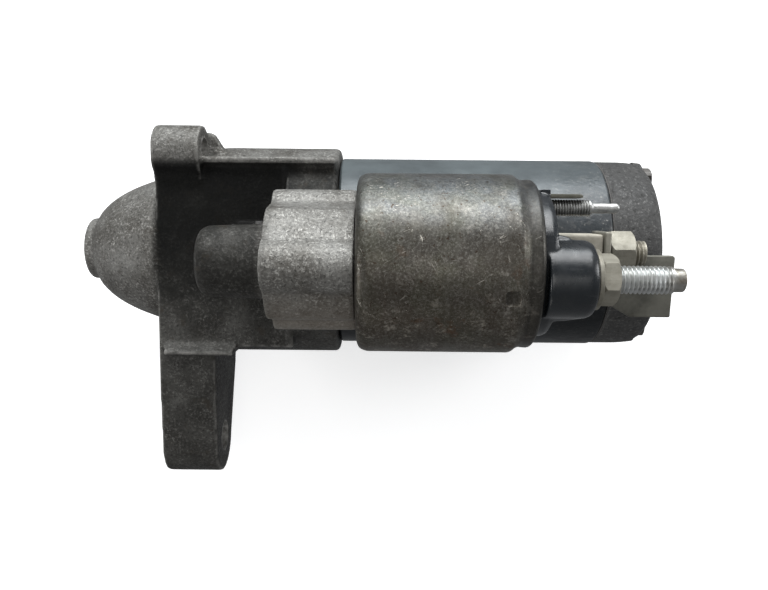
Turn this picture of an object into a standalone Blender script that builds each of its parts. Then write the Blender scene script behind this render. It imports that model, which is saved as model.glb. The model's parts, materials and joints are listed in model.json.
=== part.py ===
"""Starter motor with a closed nose, a planetary reduction and a solenoid on top.

The origin is on the armature axis, at the front face of the mounting flange. +X runs from
the nose to the rear cover, +Z from the armature axis to the solenoid. Lengths below are in
millimetres, and every finished object is scaled to metres.
"""

import math

import bmesh
import bpy
from mathutils import Matrix, Vector

MM = 0.001
GAP = 0.3                    # between pieces that touch
SMOOTH, ROUND, MEDIUM, SMALL = 32, 24, 16, 12    # sides of a turned piece, by its size

# Drive end housing, nose to rear
NOSE_TIP_X = -32.0
NOSE_HUB_R = 11.6
FLANGE_BODY_R = 34.0
HOUSING_STEP_X = 19.0
HOUSING_R = 38.5
HOUSING_X1 = 63.5
RECESS_Z = 26.0
RECESS_X1 = 46.0
RECESS_Y0, RECESS_Y1 = -33.2, 31.0
COLUMN_X0, COLUMN_Y = 28.5, 10.4    # the dome's column: its front and half its width
CHAMBER_R = 22.5             # round the clutch and the fork's arms
GEARBOX_R = 31.6             # bore that takes the ring gear
GEARBOX_X0 = 53.6
EAR_Y, EAR_Z, EAR_R = 35.0, 22.0, 9.5
EAR_X1 = 16.5
LEG_Y, LEG_Z, LEG_R = -70.0, 12.0, 13.0
LEG_X1 = 20.0
MOUNT_HOLE_R = 5.3           # clearance for M10

# Motor
YOKE_R = 35.0
YOKE_IN_R = 31.6
YOKE_X0 = 63.8
YOKE_X1 = 158.0
COVER_X1 = 176.5
COVER_R = 34.8
COVER_IN_R = 31.2
BOLT_RING_R = 28.2
BOLT_R = 2.3
BOLT_HOLE_R = 2.9
MAGNET_IN_R, MAGNET_OUT_R = 24.5, 31.3
MAGNET_ARC = 66.0
MAGNET_X0, MAGNET_X1 = 86.0, 140.0
CORE_X0, CORE_X1, CORE_R = 92.0, 136.0, 23.6
SLOTS = 12
COMMUTATOR_X0, COMMUTATOR_X1, COMMUTATOR_R = 146.0, 158.0, 14.5
BRUSHES = 4
BRUSH_X0, BRUSH_X1, BRUSH_HALF = 148.2, 156.6, 3.7
SHAFT_R = 5.0
BUSH_SEAT_R = 7.2

# Planetary reduction: the ring gear is held, the sun drives, the carrier leads
MODULE = 1.0
SUN_TEETH, PLANET_TEETH, RING_TEETH = 12, 15, 42
PLANETS = 3
PLANET_CENTRE_R = MODULE * (SUN_TEETH + PLANET_TEETH) / 2
PRESSURE_ANGLE = math.radians(25)
BACKLASH = 0.12
PLANET_PIN_R = 3.0
CARRIER_X = 60.5
GEAR_PLATE_X0 = 73.4

# Pinion, clutch and fork, at rest
PINION_TEETH, PINION_MODULE = 10, 2.54
PINION_X0, PINION_X1 = -2.0, 13.0
CLUTCH_X0, CLUTCH_X1, CLUTCH_R = 17.8, 38.5, 16.5
COLLAR_X = 44.0              # middle of the groove
FORK_PIVOT_X, FORK_PIVOT_Z = 38.5, 33.0
STROKE = 11.0                # of the plunger, and of the pinion the other way
FORK_ARM = 33.0              # both arms of the fork
SLIDE_BORE_R = 7.35          # of the pieces that slide on the drive shaft

# Solenoid
SOL_Z = 66.0
CAN_X0, CAN_X1 = 72.0, 123.4
CAN_R, CAN_IN_R = 26.5, 24.3
CAN_FIT_R = 23.9             # outer radius of what sits inside the can
CAP_IN_R = 19.5
PLUNGER_R = 9.7
SCREW_RING_R = 16.6
SCREW_ANGLES = (90.0, 210.0, 330.0)
SCREW_HOLE_R = 2.9
LOBE_R = 7.4
DOME_X0, DOME_R = 25.0, 10.7
BRACKET_X0 = 46.0
CAP_FLOOR_X, CAP_FACE_X = 123.4, 127.0     # inner and outer face of the cap's end wall
BATTERY_Y, BATTERY_Z = -3.3, 79.0
MOTOR_Y, MOTOR_Z = 2.8, 53.0
TRIGGER_Y, TRIGGER_Z = 16.7, 66.0
TAB_Y = 20.1
SEAT_X1 = 147.0              # rear face of the cap's seat for the motor stud
STUD_R = 4.0
GROMMET_X0, GROMMET_X1 = 161.8, 172.0
GROMMET_Y0, GROMMET_Y1 = -17.0, -1.5


# ---------------------------------------------------------------- materials

def material(name, colour, roughness, metallic):
    made = bpy.data.materials.new(name)
    made.use_nodes = True
    shader = made.node_tree.nodes["Principled BSDF"]
    shader.inputs["Base Color"].default_value = (*colour, 1.0)
    shader.inputs["Roughness"].default_value = roughness
    shader.inputs["Metallic"].default_value = metallic
    made.diffuse_color = (*colour, 1.0)
    return made


LOOKS = {
    "cast_dark": ((0.10, 0.095, 0.085), 0.75, 0.6),
    "bronze": ((0.50, 0.33, 0.15), 0.45, 1.0),
    "yoke_paint": ((0.06, 0.065, 0.07), 0.55, 0.4),
    "cover_cast": ((0.075, 0.075, 0.075), 0.75, 0.5),
    "steel_dark": ((0.22, 0.21, 0.20), 0.45, 1.0),
    "steel_bright": ((0.55, 0.55, 0.56), 0.30, 1.0),
    "ferrite": ((0.07, 0.07, 0.075), 0.65, 0.1),
    "copper": ((0.62, 0.31, 0.17), 0.35, 1.0),
    "carbon": ((0.16, 0.12, 0.10), 0.60, 0.3),
    "nylon": ((0.30, 0.27, 0.22), 0.55, 0.0),
    "gear_steel": ((0.42, 0.41, 0.40), 0.35, 1.0),
    "can_steel": ((0.28, 0.27, 0.25), 0.45, 0.9),
    "black_plastic": ((0.02, 0.022, 0.025), 0.25, 0.0),
    "rubber": ((0.10, 0.10, 0.09), 0.80, 0.0),
    "zinc_bright": ((0.70, 0.69, 0.66), 0.30, 1.0),
    "zinc_yellow": ((0.58, 0.53, 0.42), 0.40, 0.9),
    "enamel": ((0.45, 0.17, 0.07), 0.40, 0.5),
}


# ---------------------------------------------------------------- modelling helpers

def solid_from_loops(loops, closed_ring=False):
    """Faces between one loop of points and the next; the ends are capped or joined."""
    bm = bmesh.new()
    rows = [[bm.verts.new(p) for p in loop] for loop in loops]
    count = len(rows[0])
    pairs = list(zip(rows, rows[1:]))
    if closed_ring:
        pairs.append((rows[-1], rows[0]))
    for low, high in pairs:
        for i in range(count):
            j = (i + 1) % count
            bm.faces.new((low[i], low[j], high[j], high[i]))
    if not closed_ring:
        bm.faces.new(rows[0])
        bm.faces.new(rows[-1])
    return closed_outward(bm)


def closed_outward(bm):
    bmesh.ops.remove_doubles(bm, verts=bm.verts, dist=1e-5)
    bmesh.ops.recalc_face_normals(bm, faces=bm.faces)
    return bm


def turned(profile, y=0.0, z=0.0, segments=ROUND):
    """A solid of revolution about the line along X at (y, z). The profile lists (x, r)
    round one side. It starts and ends on the axis, or else it is a closed ring."""
    solid = all(r > 0 for _, r in profile)
    bm = bmesh.new()
    rings = []
    for x, r in profile:
        if r == 0:
            rings.append([bm.verts.new((x, y, z))])
            continue
        ring = []
        for i in range(segments):
            a = math.tau * (i + 0.5) / segments
            ring.append(bm.verts.new((x, y + r * math.cos(a), z + r * math.sin(a))))
        rings.append(ring)
    pairs = list(zip(rings, rings[1:]))
    if solid:
        pairs.append((rings[-1], rings[0]))
    for low, high in pairs:
        if len(low) == 1 and len(high) == 1:
            continue
        for i in range(segments):
            j = (i + 1) % segments
            corners = [low[i % len(low)], low[j % len(low)], high[j % len(high)], high[i % len(high)]]
            bm.faces.new(list(dict.fromkeys(corners)))
    return closed_outward(bm)


def cylinder(x0, x1, r, y=0.0, z=0.0, segments=SMALL):
    return turned([(x0, 0), (x0, r), (x1, r), (x1, 0)], y, z, segments)


def tube(x0, x1, r_in, r_out, y=0.0, z=0.0, segments=MEDIUM):
    return turned([(x0, r_in), (x0, r_out), (x1, r_out), (x1, r_in)], y, z, segments)


def box(x0, x1, y0, y1, z0, z1):
    corners = [(y0, z0), (y1, z0), (y1, z1), (y0, z1)]
    return prism(corners, x0, x1)


def prism(outline, x0, x1):
    """An outline of (y, z) points, drawn out along X."""
    return solid_from_loops([[(x, y, z) for y, z in outline] for x in (x0, x1)])


def pin_along_y(x, z, r, y0, y1, segments=SMALL):
    loops = []
    for y in (y0, y1):
        turns = (math.tau * i / segments for i in range(segments))
        loops.append([(x + r * math.cos(a), y, z + r * math.sin(a)) for a in turns])
    return solid_from_loops(loops)


def rounded(bm, width, segments=2, test=None):
    """Bevels the edges that pass the test, or every edge."""
    edges = [e for e in bm.edges if test is None or test(e)]
    bmesh.ops.bevel(bm, geom=edges, offset=width, segments=segments, profile=0.5, affect="EDGES")
    return closed_outward(bm)


def arc(cy, cz, r, a0, a1, steps):
    """Points of a circle in the YZ plane, from angle a0 to a1 in degrees."""
    turns = (math.radians(a0 + (a1 - a0) * i / steps) for i in range(steps + 1))
    return [(cy + r * math.cos(a), cz + r * math.sin(a)) for a in turns]


def moved(bm, matrix):
    bmesh.ops.transform(bm, matrix=matrix, verts=bm.verts)
    return bm


def about_x(degrees):
    return Matrix.Rotation(math.radians(degrees), 4, "X")


def place(name, bm, look, origin=(0.0, 0.0, 0.0), parent=None, angle=35.0):
    """Turns a bmesh drawn in millimetres into a finished object whose origin is given."""
    mesh = bpy.data.meshes.new(name)
    bm.to_mesh(mesh)
    bm.free()
    return finish(name, mesh, look, origin, parent, angle)


def finish(name, mesh, look, origin=(0.0, 0.0, 0.0), parent=None, angle=35.0):
    mesh.transform(Matrix.Scale(MM, 4) @ Matrix.Translation(-Vector(origin)))
    mesh.shade_smooth()
    mesh.set_sharp_from_angle(angle=math.radians(angle))
    mesh.materials.clear()
    mesh.materials.append(MATERIALS[look])
    made = bpy.data.objects.new(name, mesh)
    made.location = Vector(origin) * MM
    bpy.context.scene.collection.objects.link(made)
    if parent:
        made.parent = parent
        made.matrix_parent_inverse = parent.matrix_world.inverted()
    return made


def as_bmesh(mesh):
    bm = bmesh.new()
    bm.from_mesh(mesh)
    bpy.data.meshes.remove(mesh)
    return bm


def joined(base, adds=(), cuts=(), solver="EXACT"):
    """The base with solids added, then others cut away, as one mesh."""
    holder = scratch_object(base)
    helpers = []
    for operation, tools in (("UNION", adds), ("DIFFERENCE", cuts)):
        for tool in tools:
            helper = scratch_object(tool)
            helpers.append(helper)
            step = holder.modifiers.new(operation.lower(), "BOOLEAN")
            step.operation = operation
            step.solver = solver
            step.object = helper
    bpy.context.view_layer.update()
    graph = bpy.context.evaluated_depsgraph_get()
    mesh = bpy.data.meshes.new_from_object(holder.evaluated_get(graph))
    for used in (holder, *helpers):
        bpy.data.objects.remove(used)
    return mesh


def scratch_object(bm):
    mesh = bpy.data.meshes.new("helper")
    bm.to_mesh(mesh)
    bm.free()
    made = bpy.data.objects.new("helper", mesh)
    made.hide_render = True
    made.display_type = "WIRE"
    bpy.context.scene.collection.objects.link(made)
    return made


def axis_empty(name, origin, parent=None):
    """An empty that stands on a joint's axis."""
    made = bpy.data.objects.new(name, None)
    made.empty_display_size = 0.01
    made.location = Vector(origin) * MM
    bpy.context.scene.collection.objects.link(made)
    bpy.context.view_layer.update()
    if parent:
        made.parent = parent
        made.matrix_parent_inverse = parent.matrix_world.inverted()
        bpy.context.view_layer.update()
    return made


def involute(angle):
    return math.tan(angle) - angle


def tooth_outline(teeth, module, r_low, r_high, thickness_change, phase, shares=(0.0, 0.5, 1.0)):
    """A spur gear's outline, counter-clockwise, with a tooth centred on the phase angle. Each
    flank has a point at every share of its height."""
    pitch_r = teeth * module / 2
    base_r = pitch_r * math.cos(PRESSURE_ANGLE)
    half_pitch = math.pi / (2 * teeth) + thickness_change / (2 * pitch_r)
    flank = []
    for share in shares:
        r = r_low + (r_high - r_low) * share
        lean = involute(math.acos(min(1.0, base_r / r)))
        flank.append((r, half_pitch + involute(PRESSURE_ANGLE) - lean))
    points = []
    for tooth in range(teeth):
        centre = phase + math.tau * tooth / teeth
        points += [(r, centre - half) for r, half in flank]
        points += [(r, centre + half) for r, half in reversed(flank)]
    return [(r * math.cos(a), r * math.sin(a)) for r, a in points]


def helix(x0, x1, coil_r, wire_r, turns, steps, sides=4):
    """A coil spring about the X axis, closed at both ends."""
    count = int(turns * steps)
    loops = []
    for i in range(count + 1):
        a = math.tau * turns * i / count
        centre = Vector((x0 + (x1 - x0) * i / count, coil_r * math.cos(a), coil_r * math.sin(a)))
        outward = Vector((0, math.cos(a), math.sin(a)))
        loop = []
        for s in range(sides):
            b = math.tau * s / sides
            loop.append(centre + outward * wire_r * math.cos(b) + Vector((wire_r * math.sin(b), 0, 0)))
        loops.append(loop)
    return solid_from_loops(loops)


# ---------------------------------------------------------------- housing

def nose_profile():
    return [
        (HOUSING_STEP_X, 0), (HOUSING_STEP_X, 30), (2, 28.0), (-4, 27.0), (-9, 25.3), (-14, 23.4),
        (-19, 20.9), (-23, 18.2), (-26, 15.4), (-27.4, 13.4), (-28.0, NOSE_HUB_R),
        (NOSE_TIP_X + 0.8, NOSE_HUB_R), (NOSE_TIP_X, NOSE_HUB_R - 0.8), (NOSE_TIP_X, 0),
    ]


def inner_profile():
    """Everything that is bored out from the rear: gearbox, clutch chamber, nose, bush seat."""
    return [
        (HOUSING_X1 + 5, 0), (HOUSING_X1 + 5, GEARBOX_R), (GEARBOX_X0, GEARBOX_R),
        (GEARBOX_X0, CHAMBER_R), (4, CHAMBER_R), (-2, 20.5), (-12, 18.6), (-18, 16.0),
        (-21, 12.0), (-21, 8.0), (-29.6, 8.0), (-29.6, 0),
    ]


def leg_outline():
    """The leg in the YZ plane: from the body to a round lug."""
    lug = arc(LEG_Y, LEG_Z, LEG_R, 105, 262, 12)
    return [(-24, 26), (-52, 26.0)] + lug + [(-46, -11), (-24, -14)]


def ear_outline():
    """The ear in the YZ plane, with the web that ties it to the body."""
    return [(18, 4)] + arc(EAR_Y, EAR_Z, EAR_R, -38, 140, 14) + [(20, 25)]


def bracket_outline():
    """The solenoid's seat: a lobe for each of its screws on a round middle and a wide foot."""
    points = [(21, 20), (21, 50)]
    points += arc(*lobe_centre(330), LOBE_R, -10, 62, 6)
    points += arc(0, SOL_Z, 18.4, 30, 56, 3)
    points += arc(*lobe_centre(90), LOBE_R, 8, 172, 12)
    points += arc(0, SOL_Z, 18.4, 124, 150, 3)
    points += arc(*lobe_centre(210), LOBE_R, 118, 190, 6)
    return points + [(-21.5, 50), (-21.5, 20)]


def lobe_centre(degrees):
    a = math.radians(degrees)
    return SCREW_RING_R * math.cos(a), SOL_Z + SCREW_RING_R * math.sin(a)


def finger_dome():
    """The closed finger over the fork's upper end and the plunger hook."""
    front = [(DOME_X0, 0), (DOME_X0, 7.6), (DOME_X0 + 0.8, 9.4), (DOME_X0 + 2.6, 10.4)]
    return turned(front + [(DOME_X0 + 6.0, DOME_R), (50, DOME_R + 0.6), (50, 0)], 0, SOL_Z, MEDIUM)


def drive_end_housing():
    body = turned(nose_profile(), segments=ROUND)
    flange = prism(arc(0, 0, FLANGE_BODY_R, 0, 352.5, 47), 0, HOUSING_STEP_X + 2)
    barrel = turned(
        [(HOUSING_STEP_X, 0), (HOUSING_STEP_X, HOUSING_R - 1), (HOUSING_STEP_X + 1, HOUSING_R),
         (HOUSING_X1 - 1, HOUSING_R), (HOUSING_X1, HOUSING_R - 1), (HOUSING_X1, 0)])
    deck = box(0.0, RECESS_X1 + 2, -33.5, 33.0, 8.0, RECESS_Z + 1.0)
    rim_top = rounded(box(1.5, HOUSING_X1 - 0.5, RECESS_Y1 + 0.2, 33.2, 10, RECESS_Z + 2.5), 0.6, 1)
    shelf = box(RECESS_X1 - 1, HOUSING_X1 - 0.8, 20, 32, 10, RECESS_Z + 0.6)
    ledge = rounded(prism(ledge_outline(), 2.5, 27), 0.6, 1)
    leg = rounded(prism(leg_outline(), 0, LEG_X1), 2.0, 2, lambda e: e.verts[0].co.x > 19
                  and e.verts[1].co.x > 19 and min(v.co.y for v in e.verts) < -24.5)
    ear = rounded(prism(ear_outline(), 0, EAR_X1), 1.6, 2, lambda e: abs(
        e.verts[0].co.x - e.verts[1].co.x) < 0.1 and max(v.co.y for v in e.verts) > 30)
    gusset = solid_from_loops([
        [(EAR_X1 - 1, 20, z), (24, 20, z), (24, 33, z), (EAR_X1 + 1.5, 42.5, z), (EAR_X1 - 1, 43, z)]
        for z in (10.0, 15.5)])
    column = box(COLUMN_X0, 52, -COLUMN_Y, COLUMN_Y, 18, SOL_Z)
    bracket = rounded(prism(bracket_outline(), BRACKET_X0, CAN_X0 - GAP), 1.2, 2, lambda e: max(
        v.co.x for v in e.verts) < BRACKET_X0 + 0.1 and min(v.co.z for v in e.verts) > 21)
    adds = [rim_top, shelf, ledge, leg, ear, gusset, column, finger_dome(), bracket]
    shell = joined(body, [flange, barrel, deck], recess_cuts(), "MANIFOLD")
    return joined(as_bmesh(shell), adds, housing_cuts(), "MANIFOLD")


def recess_cuts():
    """The deep recess between the flange and the bracket, on three sides of the dome's column."""
    z0, z1 = RECESS_Z, RECESS_Z + 24
    return [box(-1, COLUMN_X0 - 0.1, RECESS_Y0, RECESS_Y1, z0, z1),
            box(COLUMN_X0 - 0.5, RECESS_X1, COLUMN_Y + 0.1, RECESS_Y1, z0, z1),
            box(COLUMN_X0 - 0.5, RECESS_X1, RECESS_Y0, -COLUMN_Y - 0.1, z0, z1)]


def ledge_outline():
    """A sloping ledge along the recess's lower side, in the YZ plane."""
    return [(-36.0, 10), (-36.0, RECESS_Z + 3.4), (-34.8, RECESS_Z + 4), (-31.2, RECESS_Z - 0.5), (-31.2, 10)]


def housing_cuts():
    cuts = [turned(inner_profile(), segments=ROUND)]
    dome_hollow = [(27.6, 0), (27.6, 5.0), (29.6, 7.7), (48, 7.7), (48, 12.0), (CAN_X0 + 1, 12.0),
                   (CAN_X0 + 1, 0)]
    cuts.append(turned(dome_hollow, 0, SOL_Z, MEDIUM))
    cuts.append(box(29.5, 50, -7.2, 7.2, 12, SOL_Z))
    cuts.append(box(49.5, HOUSING_X1 + 1, -9.0, 9.0, 30, 40))
    cuts.append(cylinder(HOUSING_X1, CAN_X0 + 2, YOKE_R + 0.5, segments=SMOOTH))
    cuts.append(pin_along_y(FORK_PIVOT_X, FORK_PIVOT_Z, 2.9, -12, 12))
    cuts.append(box(-19.5, -2.0, -19, 19, -45, -8))
    cuts.append(cylinder(-2, EAR_X1 + 2, MOUNT_HOLE_R, EAR_Y, EAR_Z))
    cuts.append(cylinder(-2, LEG_X1 + 2, MOUNT_HOLE_R, LEG_Y, LEG_Z))
    for side in (1, -1):
        cuts.append(cylinder(42, GEARBOX_X0 + 1, BOLT_HOLE_R, side * BOLT_RING_R, 0, SMALL))
    for degrees in SCREW_ANGLES:
        y, z = lobe_centre(degrees)
        cuts.append(cylinder(BRACKET_X0 + 4, CAN_X0 + 1, SCREW_HOLE_R, y, z, SMALL))
        cuts.append(cylinder(BRACKET_X0 - 2, BRACKET_X0 + 6, 5.0, y, z, SMALL))
    return cuts


# ---------------------------------------------------------------- motor

def rear_cover():
    cup = turned([
        (174.2, 0), (174.2, BUSH_SEAT_R), (166, BUSH_SEAT_R), (166, 10.5), (172.8, 12),
        (172.8, COVER_IN_R), (YOKE_X1 + GAP, COVER_IN_R), (YOKE_X1 + GAP, COVER_R),
        (COVER_X1 - 4.2, COVER_R), (COVER_X1 - 1.6, COVER_R - 1.0), (COVER_X1 - 0.4, COVER_R - 2.8),
        (COVER_X1, COVER_R - 5), (COVER_X1, 0)])
    cuts = [cylinder(170, COVER_X1 + 1, BOLT_HOLE_R, side * BOLT_RING_R, 0, SMALL) for side in (1, -1)]
    cuts.append(box(GROMMET_X0 - GAP, GROMMET_X1 + GAP, GROMMET_Y0 - GAP, GROMMET_Y1 + GAP, 25, 40))
    return joined(cup, cuts=cuts)


def yoke():
    return tube(YOKE_X0, YOKE_X1, YOKE_IN_R, YOKE_R, segments=SMOOTH)


def through_bolt(side):
    """A long bolt from the rear cover to the housing, with a hexagon head."""
    y = side * BOLT_RING_R
    shank = cylinder(44, COVER_X1 + 1.5, BOLT_R, y, 0, 12)
    washer = cylinder(COVER_X1 + GAP, COVER_X1 + 1.1, 4.6, y, 0, SMALL)
    head = cylinder(COVER_X1 + 0.9, COVER_X1 + 4.2, 4.3, y, 0, 6)
    return joined(shank, [washer, head])


def magnet(number):
    """One arc of ferrite inside the yoke."""
    middle = 45 + 90 * number
    low, high = middle - MAGNET_ARC / 2, middle + MAGNET_ARC / 2
    outline = arc(0, 0, MAGNET_OUT_R, low, high, 8) + arc(0, 0, MAGNET_IN_R, high, low, 8)
    return prism(outline, MAGNET_X0, MAGNET_X1)


def armature_shaft():
    """The armature's shaft, with the sun gear's teeth cut on its front end."""
    shaft = turned([
        (52, 0), (52, 3.2), (52.4, 3.5), (61, 3.5), (61, 4.6), (71, 4.6), (71, SHAFT_R),
        (172.6, SHAFT_R), (173.2, SHAFT_R - 0.6), (173.2, 0)], segments=MEDIUM)
    pitch_r = SUN_TEETH * MODULE / 2
    outline = tooth_outline(SUN_TEETH, MODULE, pitch_r - 1.05, pitch_r + 0.8, -BACKLASH, math.pi / 2)
    return joined(shaft, [prism(outline, 61.2, 70.6)])


def slot_box(number, width, r0, r1, x0, x1):
    cutter = box(x0, x1, -width / 2, width / 2, r0, r1)
    return moved(cutter, about_x(360 * number / SLOTS))


def armature_core():
    """Stacked laminations with open slots for the winding."""
    core = tube(CORE_X0, CORE_X1, SHAFT_R + GAP, CORE_R, segments=ROUND)
    slots = [slot_box(n, 5.0, 13.5, 30, CORE_X0 - 1, CORE_X1 + 1) for n in range(SLOTS)]
    return joined(core, cuts=slots)


def armature_winding():
    """Copper in the slots, with the end turns that join it at the front and the rear."""
    front = turned([(82, 8), (81, 11), (81, 20), (83, 22.4), (CORE_X0 - GAP, 22.6), (CORE_X0 - GAP, 8)])
    rear = turned([(CORE_X1 + GAP, 8), (CORE_X1 + GAP, 22.6), (142, 21.5), (145, 15), (145, 8)])
    bars = [slot_box(n, 3.8, 14.2, 22.4, CORE_X0 - 2, CORE_X1 + 2) for n in range(SLOTS)]
    return joined(front, [rear] + bars)


def commutator():
    """Copper bars round a hub, parted by narrow grooves."""
    ring = tube(COMMUTATOR_X0, COMMUTATOR_X1, SHAFT_R + GAP, COMMUTATOR_R, segments=ROUND)
    grooves = []
    for bar in range(2 * SLOTS):
        groove = box(COMMUTATOR_X0 - 1, COMMUTATOR_X1 + 1, -0.35, 0.35, COMMUTATOR_R - 1.2, COMMUTATOR_R + 1)
        grooves.append(moved(groove, about_x(360 * (bar + 0.5) / (2 * SLOTS))))
    return joined(ring, cuts=grooves)


def brush_angle(number):
    """Degrees by which a piece drawn along +Z turns to reach this brush's place."""
    return 45 + 90 * number


def brush(number):
    bm = box(BRUSH_X0, BRUSH_X1, -BRUSH_HALF, BRUSH_HALF, COMMUTATOR_R + GAP, 22.6)
    return moved(bm, about_x(brush_angle(number)))


def brush_spring(number):
    coil = helix(22.9, 29.0, 2.7, 0.45, 2.5, 8)
    upright = Matrix.Translation(((BRUSH_X0 + BRUSH_X1) / 2, 0, 0)) @ Matrix.Rotation(-math.pi / 2, 4, "Y")
    return moved(coil, about_x(brush_angle(number)) @ upright)


def brush_holder():
    """A moulded plate with an open-ended channel for each brush."""
    plate = tube(158.9, 161.2, 16.0, 30.6, segments=ROUND)
    channels = []
    for number in range(BRUSHES):
        walls = [box(147.2, 159.5, side * 4.1 - 0.9 + side * 0.9, side * 4.1 + 0.9 + side * 0.9, 17.5, 30.3)
                 for side in (1, -1)]
        walls.append(box(147.2, 159.5, -5.5, 5.5, 29.4, 30.5))
        channels += [moved(wall, about_x(brush_angle(number))) for wall in walls]
    holes = [cylinder(158, 162, BOLT_HOLE_R, side * BOLT_RING_R, 0, SMALL) for side in (1, -1)]
    return joined(plate, channels, holes)


def rear_bush():
    return tube(166.3, 173.0, SHAFT_R + 0.2, BUSH_SEAT_R - GAP)


# ---------------------------------------------------------------- reduction

def gear_plate():
    """The disc that closes the gearbox towards the armature."""
    plate = tube(GEAR_PLATE_X0, GEAR_PLATE_X0 + 2.0, 6.0, GEARBOX_R - GAP, segments=ROUND)
    holes = [cylinder(GEAR_PLATE_X0 - 1, GEAR_PLATE_X0 + 3, BOLT_HOLE_R, side * BOLT_RING_R, 0, SMALL)
             for side in (1, -1)]
    return joined(plate, cuts=holes)


def ring_gear():
    """The fixed internal gear, with a front wall that carries the drive shaft."""
    pitch_r = RING_TEETH * MODULE / 2
    drum = cylinder(GEARBOX_X0 + 0.4, GEAR_PLATE_X0 - 0.4, GEARBOX_R - GAP, segments=ROUND)
    space = tooth_outline(RING_TEETH, MODULE, pitch_r - 0.8, pitch_r + 1.05, BACKLASH, math.pi / 2,
                          (0.0, 1.0))
    cuts = [prism(space, 60.9, 74), cylinder(57.2, 61.2, 20.6, segments=MEDIUM),
            cylinder(53, 58, 8.25, segments=MEDIUM)]
    cuts += [cylinder(53, 74, BOLT_HOLE_R, side * BOLT_RING_R, 0, SMALL) for side in (1, -1)]
    return joined(drum, cuts=cuts)


def planet_angle(number):
    return 90.0 + 360.0 * number / PLANETS


def planet_centre(number):
    a = math.radians(planet_angle(number))
    return PLANET_CENTRE_R * math.cos(a), PLANET_CENTRE_R * math.sin(a)


def planet_gear(number):
    pitch_r = PLANET_TEETH * MODULE / 2
    phase = math.radians(planet_angle(number))
    outline = tooth_outline(PLANET_TEETH, MODULE, pitch_r - 1.05, pitch_r + 0.8, -BACKLASH, phase)
    y, z = planet_centre(number)
    gear = moved(prism(outline, 61.3, 70.0), Matrix.Translation((0, y, z)))
    return joined(gear, cuts=[cylinder(60, 72, PLANET_PIN_R + 0.25, y, z, SMALL)])


def drive_shaft():
    """The pinion's shaft, with the planet carrier and its pins at the rear."""
    shaft = turned([
        (-29.2, 0), (-29.2, 5.1), (-28.8, 5.5), (-20.5, 5.5), (-20.5, 6), (18, 6), (18, 7), (50, 7),
        (50, 7.9), (57.6, 7.9), (57.6, 18.6), (CARRIER_X, 18.6), (CARRIER_X, 3.9), (49.5, 3.9),
        (49.5, 0)], segments=MEDIUM)
    pins = [cylinder(CARRIER_X - 1, 71.5, PLANET_PIN_R, *planet_centre(n), SMALL) for n in range(PLANETS)]
    return joined(shaft, pins)


# ---------------------------------------------------------------- pinion, clutch and fork

def pinion():
    pitch_r = PINION_TEETH * PINION_MODULE / 2
    outline = tooth_outline(
        PINION_TEETH, PINION_MODULE, pitch_r - 2.6, pitch_r + 2.0, -BACKLASH, math.pi / 2)
    sleeve = cylinder(PINION_X1 - 1, CLUTCH_X0 - GAP, 9.8)
    return joined(prism(outline, PINION_X0, PINION_X1), [sleeve], [cylinder(-4, 20, 6.35, segments=MEDIUM)])


def clutch_shell():
    return turned([
        (CLUTCH_X0, SLIDE_BORE_R), (CLUTCH_X0, 13.5), (CLUTCH_X0 + 1.5, CLUTCH_R),
        (CLUTCH_X1 - 2.5, CLUTCH_R), (CLUTCH_X1, CLUTCH_R - 2.0), (CLUTCH_X1, SLIDE_BORE_R)])


def shift_collar():
    return turned([
        (38.8, SLIDE_BORE_R), (38.8, 16), (COLLAR_X - 3, 16), (COLLAR_X - 3, 12.6), (COLLAR_X + 3, 12.6),
        (COLLAR_X + 3, 16), (48.9, 16), (48.9, SLIDE_BORE_R)])


def stop_ring():
    return tube(-19.6, -16.6, 6.2, 9.0, segments=MEDIUM)


def nose_bush():
    return tube(-28.9, -21.4, 5.75, 7.7)


def fork_lever():
    """Drawn upright with its pivot at the origin, then leaned to its rest angle."""
    lean = math.asin(STROKE / 2 / FORK_ARM)
    thick = 2.3
    ring = arc(0, -FORK_ARM, 19.9, -6, 186, 20) + arc(0, -FORK_ARM, 17.3, 186, -6, 20)
    jaws = prism(ring, -thick, thick)
    stem = prism([(-5.6, -15.2), (5.6, -15.2), (5.6, 6), (3.0, 26), (3.0, 37.5), (-3.0, 37.5),
                  (-3.0, 26), (-5.6, 6)],
                 -2.0, 2.0)
    boss = pin_along_y(0, 0, 5.0, -6.2, 6.2)
    pads = [pin_along_y(0, -FORK_ARM, 2.2, *ends) for ends in ((13.4, 19.0), (-19.0, -13.4))]
    hole = pin_along_y(0, 0, 2.75, -9, 9)
    mesh = joined(jaws, [stem, boss] + pads, [hole])
    mesh.transform(Matrix.Translation((FORK_PIVOT_X, 0, FORK_PIVOT_Z)) @ Matrix.Rotation(-lean, 4, "Y"))
    return mesh


def fork_pin():
    return pin_along_y(FORK_PIVOT_X, FORK_PIVOT_Z, 2.55, -11.5, 11.5)


def lever_seal():
    """The rubber block that closes the fork's opening behind the lever."""
    return rounded(box(50.3, HOUSING_X1 - GAP, -8.7, 8.7, 32.2, 39.7), 0.8, 1)


# ---------------------------------------------------------------- solenoid

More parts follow.
